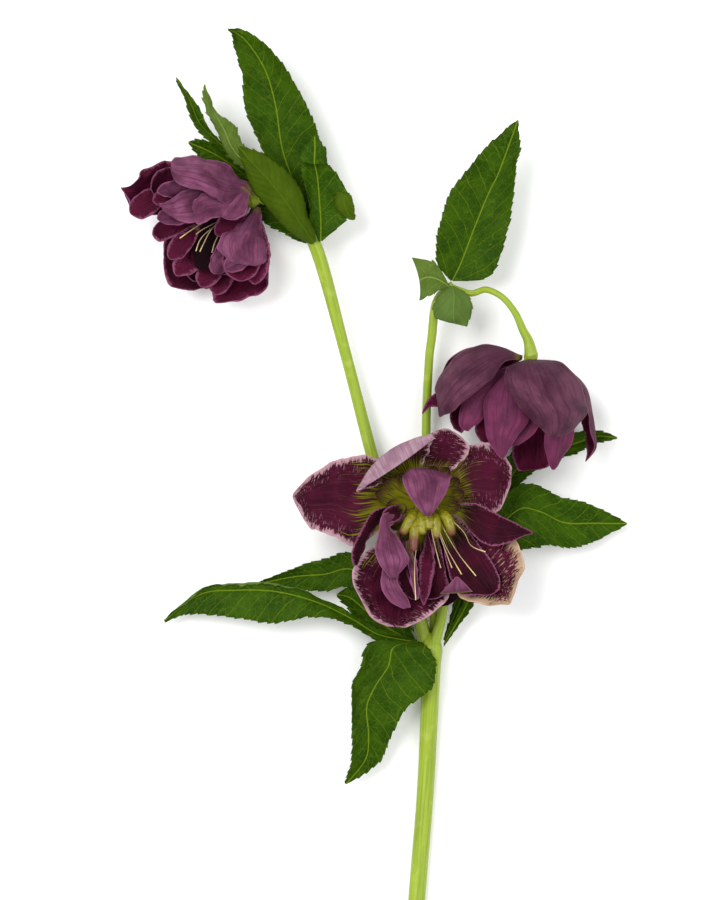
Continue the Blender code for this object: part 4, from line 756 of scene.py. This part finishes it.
LEFT_PETALS = {
    "left_petal_roof_left": [
        (-42, 98.8, 15.2, -41.8, 97.4, 15.6, 15.6), (-47, 99, 19, -46.5, 92.4, 21, 21.6),
        (-54, 99.8, 22, -53.5, 89.5, 25, 25.6), (-60, 99, 25, -58.5, 88.8, 27, 27.4),
        (-64, 96, 26.6, -62.5, 90, 27.6, 27.8), (-67.4, 94.8, 27.6, -66, 92.4, 27.6, 27.8),
    ],
    "left_petal_roof_right": [
        (-41, 98.2, 16.8, -40.8, 96.6, 17, 17.3), (-43.4, 97.6, 19.4, -42.6, 92.4, 19.6, 20.9),
        (-48.5, 98, 23.6, -47, 90.8, 24, 25.2), (-53, 98, 27.4, -51.5, 89.6, 27.7, 28),
        (-56.2, 96, 28.9, -55, 88, 29, 29.4), (-57, 93.5, 29.2, -56.2, 89.5, 29.4, 29.5),
    ],
    "left_petal_cup": [
        (-42, 95.2, 12.2, -42.2, 96.2, 12.3, 12.1), (-50, 89.6, 14.2, -50, 93.2, 14.8, 13.8),
        (-58, 86.5, 16.4, -58, 90.9, 17.2, 16), (-63.5, 84.6, 20, -63.5, 90.6, 20.6, 18.6),
        (-67.5, 82.9, 22.5, -67, 89.6, 23, 20.8), (-69.6, 85, 24, -69.2, 87.2, 24, 23.4),
    ],
    "left_petal_side": [
        (-42.2, 97.2, 13.2, -42, 98.4, 13.2, 13.1), (-50, 94.8, 14.6, -50, 101, 15.5, 13.6),
        (-58, 94, 17, -58, 104.5, 18.4, 15.8), (-65, 95.5, 20.5, -64.5, 105.6, 22, 18.8),
        (-69.2, 97, 23, -68, 105, 24, 22), (-70, 99.3, 24.6, -69.8, 101.8, 24.8, 24.4),
    ],
    "left_petal_small": [
        (-36.8, 93.8, 12.3, -38.1, 93.2, 12.3, 12.2), (-36.6, 86, 13, -42, 85, 12, 11.2),
        (-36.4, 79, 14, -45.5, 80, 12.4, 11.4), (-38, 73.5, 16.5, -49, 76, 15, 14),
        (-46, 72.6, 17, -51.6, 73.6, 17, 16.8),
    ],
    "left_petal_inner": [
        (-39.9, 93.2, 11.6, -41.1, 94.1, 11.7, 11.5), (-45, 86.6, 11.2, -50, 89.6, 11.4, 10.4),
        (-49.5, 80, 10.4, -57.6, 87, 12, 8.6), (-53, 74, 10.2, -61.5, 82, 14, 9),
        (-55.5, 71, 12, -61, 76.5, 15, 11.5), (-58, 71.5, 14.5, -59.4, 73, 15, 14.4),
    ],
}
for number, (name, rows) in enumerate(LEFT_PETALS.items()):
    blade(name + "_sheet", rows, LEFT_FINISH, 70, 31, SEPAL_THICKNESS,
          ruffle=1.6, node=name, seed=number * 1.3 + 31)
LEFT_EXTRA = [
    ((-40.1, 99.4, 20.4), (-47.6, 90.4, 26), 8.5, 1.2, -1.0, True),
    ((-40, 94.8, 15.4), (-49.8, 85, 22), 7, 0.8, 1.0, False),
    ((-40.1, 87, 12.4), (-42.4, 70.6, 20), 13, 0.6, 1.2, False),
    ((-43, 85, 12.4), (-50.6, 73, 20.6), 7.5, 0.8, -0.8, True),
    ((-52, 85, 10.6), (-62.4, 72.4, 17), 7, 0.4, 1.4, False),
    ((-55.6, 88, 15.6), (-64.4, 77.6, 18.5), 7, 0.4, 1.4, False),
    ((-50, 99.5, 15), (-69.4, 95.6, 26), 8.5, 0.8, 1.2, False),
    ((-64.8, 98.7, 19), (-76.6, 91.8, 21.6), 8, 0.5, 1.2, False),
    ((-50, 100, 16), (-68, 98.6, 28), 6, 0.8, -0.8, True),
    ((-48, 96, 18.8), (-68, 90, 25), 8, 0.8, -0.8, True),
    ((-37, 90, 14.4), (-37.6, 69.6, 19), 9, 0.2, 1.0, False),
    ((-37.4, 79.4, 21.8), (-47, 74.4, 22.8), 6, 0.4, -0.8, True),
    ((-48, 81, 10), (-54.6, 68.9, 14.4), 8, 0.4, 1.2, False),
    ((-46, 79, 8.2), (-50, 66.4, 13), 7, 0.4, 1.2, False),
]
for number, (base, tip, width, arch, cup, flip) in enumerate(LEFT_EXTRA):
    small_petal(f"left_extra_{number}", base, tip, width, arch, cup, LEFT_FINISH,
                number * 3.3 + 100, flip, 1.8)
# A dark petal sheet deep in the mouth under the sepal roof: painted shade.
small_petal("left_mouth_shade", (-42.4, 94.4, 14.6), (-55.5, 74.5, 16.4), 13, -0.6, 0.8, CAVITY_SHADE_FINISH, 150)

# The right bloom, nodding with its back to the viewer: lilac grey sepal backs with fine dark veins, and
# rose wine petals that hang below them. It is thin living tissue that grows from a receptacle at the end of
# the arched stalk.
GREY_PLUM = (0.125, 0.040, 0.072)
SLATE_PLUM = (0.050, 0.014, 0.029)
ROSE_PLUM = (0.17, 0.032, 0.085)
RIGHT_FINISH = petal_finish("wine_right", WINE, PLUM, PLUM_RIM, 0.6, OLIVE, 0.06, GREY_PLUM,
                            SLATE_PLUM, 0.4)
ROSE_FINISH = petal_finish("wine_rose", WINE, PLUM, PLUM_RIM, 0.6, OLIVE, 0.06, ROSE_PLUM, DUSKY, 0.4)
RIGHT_SEPALS = {
    "right_sepal_front": [
        (47, 46, 21.6, 50.6, 46, 21.6, 22), (41.8, 44, 24, 58, 45, 23, 28.5),
        (40.5, 40, 26, 63, 40, 23, 34), (43, 34.2, 28, 65.8, 33, 22.5, 36.5),
        (46.8, 29, 30, 66.6, 29.5, 23, 36.5), (51.5, 24.6, 31.5, 62, 24.2, 27, 34.5),
        (54, 22.2, 32, 57.5, 22, 31, 32.6),
    ],
    "right_sepal_left": [
        (45.4, 47.4, 19.8, 45.2, 46, 20.6, 20.4), (40, 50, 18, 40.6, 45.4, 22.6, 22.2),
        (33, 50.6, 16, 37, 40.8, 24.5, 24), (26.5, 48, 15, 32, 36.2, 25, 24.8),
        (21.3, 42.6, 14.5, 27.6, 32.9, 24, 23.2), (18.8, 36.8, 14.5, 24, 29.6, 22, 20.5),
        (19.4, 32.5, 15.5, 21.4, 28.6, 19.5, 18), (19.9, 29, 17, 20.3, 28, 17.6, 17.2),
    ],
    "right_sepal_behind": [
        (46, 46.1, 16.9, 46.2, 47.4, 17.1, 16.8), (39, 42, 10.6, 38, 49.6, 13.5, 10.6),
        (33, 38, 5.9, 30, 49.8, 11, 5.9), (27, 33, 3.8, 23.4, 46.4, 10, 3.8),
        (23.6, 29.4, 5, 20.8, 41.5, 10.6, 5.4), (20.6, 31, 9.8, 19.4, 36.2, 11.4, 10),
        (17.4, 31.2, 11.4, 16.8, 33.8, 11.8, 11.4), (14.9, 29, 11.8, 14.7, 29.6, 11.8, 11.8),
    ],
    "right_sepal_back": [
        (50.4, 45.8, 16, 47.4, 45.8, 16, 15.8), (56, 43, 9, 42, 42.4, 9.5, 7.5),
        (61, 38, 5, 38, 36, 5, 1.5), (63, 32, 4, 36.5, 31, 4.6, 0.2), (61, 27, 4.4, 39, 26.5, 5.2, 1.2),
        (56, 25, 6, 45, 25, 6.2, 4.6), (52, 24.6, 6.8, 49.5, 24.6, 6.8, 6.4),
    ],
    "right_sepal_side": [
        (51.4, 46, 19.6, 51.6, 46, 18.8, 51.3, 45.8, 18), (59.5, 42, 20, 60.5, 42.6, 14.5, 58, 41, 10),
        (65, 37, 20, 66, 37, 13, 62.6, 35, 8), (66.6, 29, 20, 68, 29, 13, 64.6, 28, 8),
        (67.6, 23, 18.5, 69, 22.5, 13.5, 66, 22.5, 9), (68.5, 18.5, 17, 68.9, 18.3, 14.5, 66.4, 18.5, 12),
        (66.3, 14.6, 15, 66.1, 14.3, 14.7, 65.9, 14.2, 14.4),
    ],
}
for number, (name, rows) in enumerate(RIGHT_SEPALS.items()):
    blade(name + "_sheet", rows, RIGHT_FINISH, 90, 41, SEPAL_THICKNESS,
          ruffle=0.6, node=name, seed=number * 2.1 + 41)
RIGHT_PETALS = {
    "right_petal_middle": [
        (46, 44.4, 20.8, 47.4, 44.4, 20.8, 20.9), (38.5, 39.5, 21.3, 46, 38, 23, 23.6),
        (34.3, 33.8, 21.7, 48.5, 32, 24.5, 26.4), (33.9, 28, 22, 48.2, 26.8, 25.4, 27.6),
        (35, 22.3, 22.5, 44.5, 22.5, 25, 26.6), (37.2, 17.6, 24, 42, 18, 24.8, 25),
        (39.2, 15.2, 24.4, 40.3, 15.3, 24.4, 24.4),
    ],
    "right_petal_second": [
        (48, 43.8, 20.2, 49.4, 43.8, 20.2, 20.2), (43.4, 38, 19.6, 52, 38, 20.6, 21),
        (41.4, 31, 19.6, 53, 31, 21.4, 21.8), (40.8, 25, 20.4, 51.6, 26, 22.4, 22.6),
        (41.3, 20.6, 22, 49, 22.3, 23, 23), (43, 19.2, 22.6, 44.8, 19.3, 22.6, 22.7),
    ],
    "right_petal_left": [
        (44.6, 44.8, 19.2, 45.2, 43.9, 19.2, 19.3), (36, 42, 19.4, 40.5, 36.5, 18.8, 20),
        (29.5, 37.5, 19, 36, 31.5, 19.2, 20.6), (26.6, 31, 18.8, 33.6, 27, 19.6, 20.4),
        (26.1, 26.5, 19, 31, 25.4, 20, 19.8), (27.2, 24.2, 19.4, 29.2, 23.6, 19.6, 19.5),
    ],
    "right_petal_left_dark": [
        (45.9, 44.8, 17.6, 45.6, 45.4, 17.6, 17.5), (38, 37.5, 12.8, 34.5, 42, 13.4, 11.9),
        (32.8, 31, 12, 27.5, 36.5, 12.4, 10.4), (29.5, 26.5, 13.5, 23.8, 30, 12.8, 11.6),
        (27.2, 23, 14.5, 24.6, 24.6, 14.2, 14.1),
    ],
    "right_petal_low_left": [
        (46.8, 43.8, 17.6, 45.8, 43.8, 17.6, 17.5), (43.4, 35.5, 15.9, 37.5, 36, 16, 15),
        (40.4, 27.5, 15.9, 32.5, 29, 16.3, 15), (38.5, 22, 16.6, 31.4, 24, 17, 15.8),
        (36, 19.9, 17, 33.2, 20.4, 17, 16.9),
    ],
    "right_petal_low": [
        (49.6, 43.9, 17, 47.8, 43.9, 17, 16.9), (54.5, 36, 13, 44, 36, 13, 10.6),
        (56.5, 28, 11.5, 43, 28, 12.5, 9), (56.5, 20, 12, 43, 20, 13.5, 9.8),
        (55, 13.5, 14, 43.5, 14.2, 15, 12), (52.5, 11.9, 15, 45, 11.2, 15.4, 14),
    ],
    "right_petal_low_right": [
        (50.4, 44.2, 20.2, 51.4, 44.2, 20, 20.3), (53, 37, 22.2, 59.5, 37.5, 20, 24.4),
        (54.2, 29, 24, 62, 29.5, 20, 26.4), (52.6, 21.5, 25, 61.6, 21.5, 20.4, 26.2),
        (53.6, 15.3, 24, 58.6, 15.5, 21.8, 24.6), (55.3, 11.6, 23, 56.2, 11.7, 22.8, 23),
    ],
}
for number, (name, rows) in enumerate(RIGHT_PETALS.items()):
    blade(name + "_sheet", rows, ROSE_FINISH, 70, 31, SEPAL_THICKNESS,
          ruffle=0.8, node=name, seed=number * 1.3 + 51)

# The blooms' centres: a fleshy green receptacle, plump yellow green nectaries with wine tips, and slender
# cream stamens. All are soft and slightly waxy, and grow from the receptacle at the end of each stalk.


def soft_finish(name, low, high, tip, start, end, roughness):
    """Waxy tissue that changes colour along its length, with faint mottling."""
    finish, shader, wire = new_finish(name)
    run = sheet_value(wire, "run")
    place = wire.node("ShaderNodeTexCoord", {}, {}, "Object")
    mottle = grain(wire, place, 900.0, 4.0)
    colour = mixed(mottle.between(0.3, 0.7), low, high)
    colour = mixed((run + (mottle - 0.5) * 3.0).between(start, end), colour, tip)
    set_finish(shader, wire, colour, mottle * 0.2 + roughness, mottle, 0.0003)
    shader.inputs["Subsurface Weight"].default_value = 0.1
    shader.inputs["Subsurface Radius"].default_value = (0.001, 0.0009, 0.0003)
    return finish


NECTARY_FINISH = soft_finish("nectary", (0.15, 0.13, 0.002), (0.27, 0.25, 0.006), (0.12, 0.03, 0.012),
                             9.0, 12.5, 0.3)
STAMEN_FINISH = soft_finish("stamen", (0.32, 0.22, 0.10), (0.46, 0.36, 0.20), (0.60, 0.50, 0.2),
                            20.0, 24.0, 0.4)
RECEPTACLE_FINISH = soft_finish("receptacle", (0.18, 0.24, 0.008), (0.26, 0.32, 0.012), (0.12, 0.10, 0.01),
                                4.0, 9.0, 0.4)
RECEPTACLES = {
    "front_centre": (
        [(16.2, 0.6, 11.7), (16.2, 0.8, 13), (16.2, 0.8, 15), (16.2, 0.6, 17), (16.2, 0, 19.5)],
        [1.9, 4.1, 4.1, 3.6, 1.2]),
    "left_centre": (
        [(-36.2, 97.4, 14), (-37.4, 96.9, 13.8), (-39, 96.5, 13.6), (-40.6, 95.9, 14), (-42, 95.2, 14.6)],
        [1.6, 2.4, 3.2, 1.9, 0.9]),
    "right_centre": (
        [(48.9, 48.8, 19.1), (48.8, 47.6, 19), (48.6, 46.4, 18.8), (48.4, 44.8, 18.6), (48.2, 43, 18.6)],
        [1.5, 2.1, 2.1, 1.5, 0.8]),
}
for name, (path, radii) in RECEPTACLES.items():
    points, faces, measures = tube(path, radii, 24, 32, bumps=0.03)
    add_piece(name + "_receptacle", points, faces, RECEPTACLE_FINISH, measures, name)
NECTARIES = [
    [(14, -1, 16.6), (11.5, -3.5, 21), (8.4, -8.5, 22.8)],
    [(15, -1, 17), (14.6, -4, 21.6), (14.8, -8.6, 23)],
    [(17.4, -1, 17), (19, -4.5, 21.6), (19.2, -10, 23)],
    [(18.4, -0.6, 17), (22.5, -3.5, 21.4), (24.2, -9, 22.6)],
    [(14.4, -1.4, 16.4), (12.6, -6.5, 22), (12, -14, 23.6)],
    [(16, -1, 18), (16.8, -4, 22), (17, -7, 23.2)],
]
NECTARY_RADII = [0.9, 1.7, 1.25]
for number, path in enumerate(NECTARIES):
    points, faces, measures = tube(path, NECTARY_RADII, 30, 20, bumps=0.05, round_tip=True)
    add_piece(f"nectary_{number}", points, faces, NECTARY_FINISH, measures, None)
FRONT_STAMENS = [
    [(16.6, 0.4, 18.5), (18, -9, 24), (20.5, -19, 25.6)],
    [(16.9, 0.5, 18.5), (21, -11, 24.4), (24, -19, 25.8)],
    [(17.2, 0.7, 18.5), (21.5, -11, 24.8), (27, -21, 26.2)],
    [(17.4, 0.9, 18.3), (25, -13, 24.6), (31.5, -21.5, 26)],
    [(17.6, 1.2, 18), (27, -7, 24), (30, -12, 24.6), (34.5, -14, 25)],
    [(15.6, 0.2, 18), (12.5, -16, 25), (12.7, -29, 27)],
]
LEFT_STAMENS = [
    [(-41, 95, 14), (-50, 91, 19), (-56, 87.5, 21), (-61, 84, 22)],
    [(-41, 95.2, 14), (-48, 90, 19), (-53.5, 87, 20.6), (-56, 85.2, 21)],
    [(-41, 95, 13.6), (-48, 89.5, 18.6), (-54, 84.5, 20.4), (-56, 80, 20.6)],
    [(-41, 95, 13.6), (-46, 91, 18), (-51, 87, 20), (-54.8, 79.8, 20.4)],
    [(-41, 95, 13.6), (-45.6, 90, 18), (-49.5, 84, 20), (-51, 79.5, 20)],
]
RIGHT_STAMENS = [
    [(48.4, 44, 18.6), (47.4, 35, 17.4), (46.4, 26, 17)],
    [(48.6, 44.4, 19.1), (50, 35, 18.2), (51.6, 27, 17.6)],
]
STAMEN_RADII = [0.2, 0.12, 0.19]
for number, path in enumerate(FRONT_STAMENS + LEFT_STAMENS + RIGHT_STAMENS):
    points, faces, measures = tube(path, STAMEN_RADII, 36, 10)
    add_piece(f"stamen_{number}", points, faces, STAMEN_FINISH, measures, None)

# The stage: a plain white floor that the spray lies on unfixed, soft studio light from three wide panels
# and a white world, and a camera looking straight down from 3 m.
floor_mesh = bpy.data.meshes.new("floor")
reach = 4.0
floor_mesh.from_pydata([(-reach, -reach, 0), (reach, -reach, 0), (reach, reach, 0), (-reach, reach, 0)], [],
                       [(0, 1, 2, 3)])
floor = bpy.data.objects.new("floor", floor_mesh)
bpy.context.scene.collection.objects.link(floor)
floor_finish, floor_shader, wire = new_finish("floor_white")
floor_shader.inputs["Base Color"].default_value = (0.97, 0.97, 0.97, 1.0)
floor_shader.inputs["Roughness"].default_value = 0.9
floor_mesh.materials.append(floor_finish)

LIGHTS = {
    "key_panel": ((-0.75, 0.55, 1.5), 1.1, 25.0),
    "fill_panel": ((1.0, 0.2, 1.3), 1.4, 11.0),
    "low_panel": ((0.1, -1.3, 1.1), 1.2, 8.0),
}
for name, (place, size, power) in LIGHTS.items():
    light = bpy.data.lights.new(name, "AREA")
    light.shape = "DISK"
    light.size = size
    light.energy = power
    lamp = bpy.data.objects.new(name, light)
    lamp.location = place
    lamp.rotation_mode = "QUATERNION"
    lamp.rotation_quaternion = (-Vector(place)).to_track_quat("-Z", "Y")
    bpy.context.scene.collection.objects.link(lamp)

world = bpy.data.worlds.new("studio")
world.use_nodes = True
world.node_tree.nodes["Background"].inputs["Color"].default_value = (1.0, 1.0, 1.0, 1.0)
world.node_tree.nodes["Background"].inputs["Strength"].default_value = 0.55
bpy.context.scene.world = world

camera = bpy.data.cameras.new("camera")
camera.sensor_width = 36.0
camera.lens = 384.0
camera.clip_end = 20.0
eye = bpy.data.objects.new("camera", camera)
eye.location = (-4.69 * MM, 17.81 * MM, 3.022)
bpy.context.scene.collection.objects.link(eye)
bpy.context.scene.camera = eye
bpy.context.scene.view_settings.view_transform = "Standard"
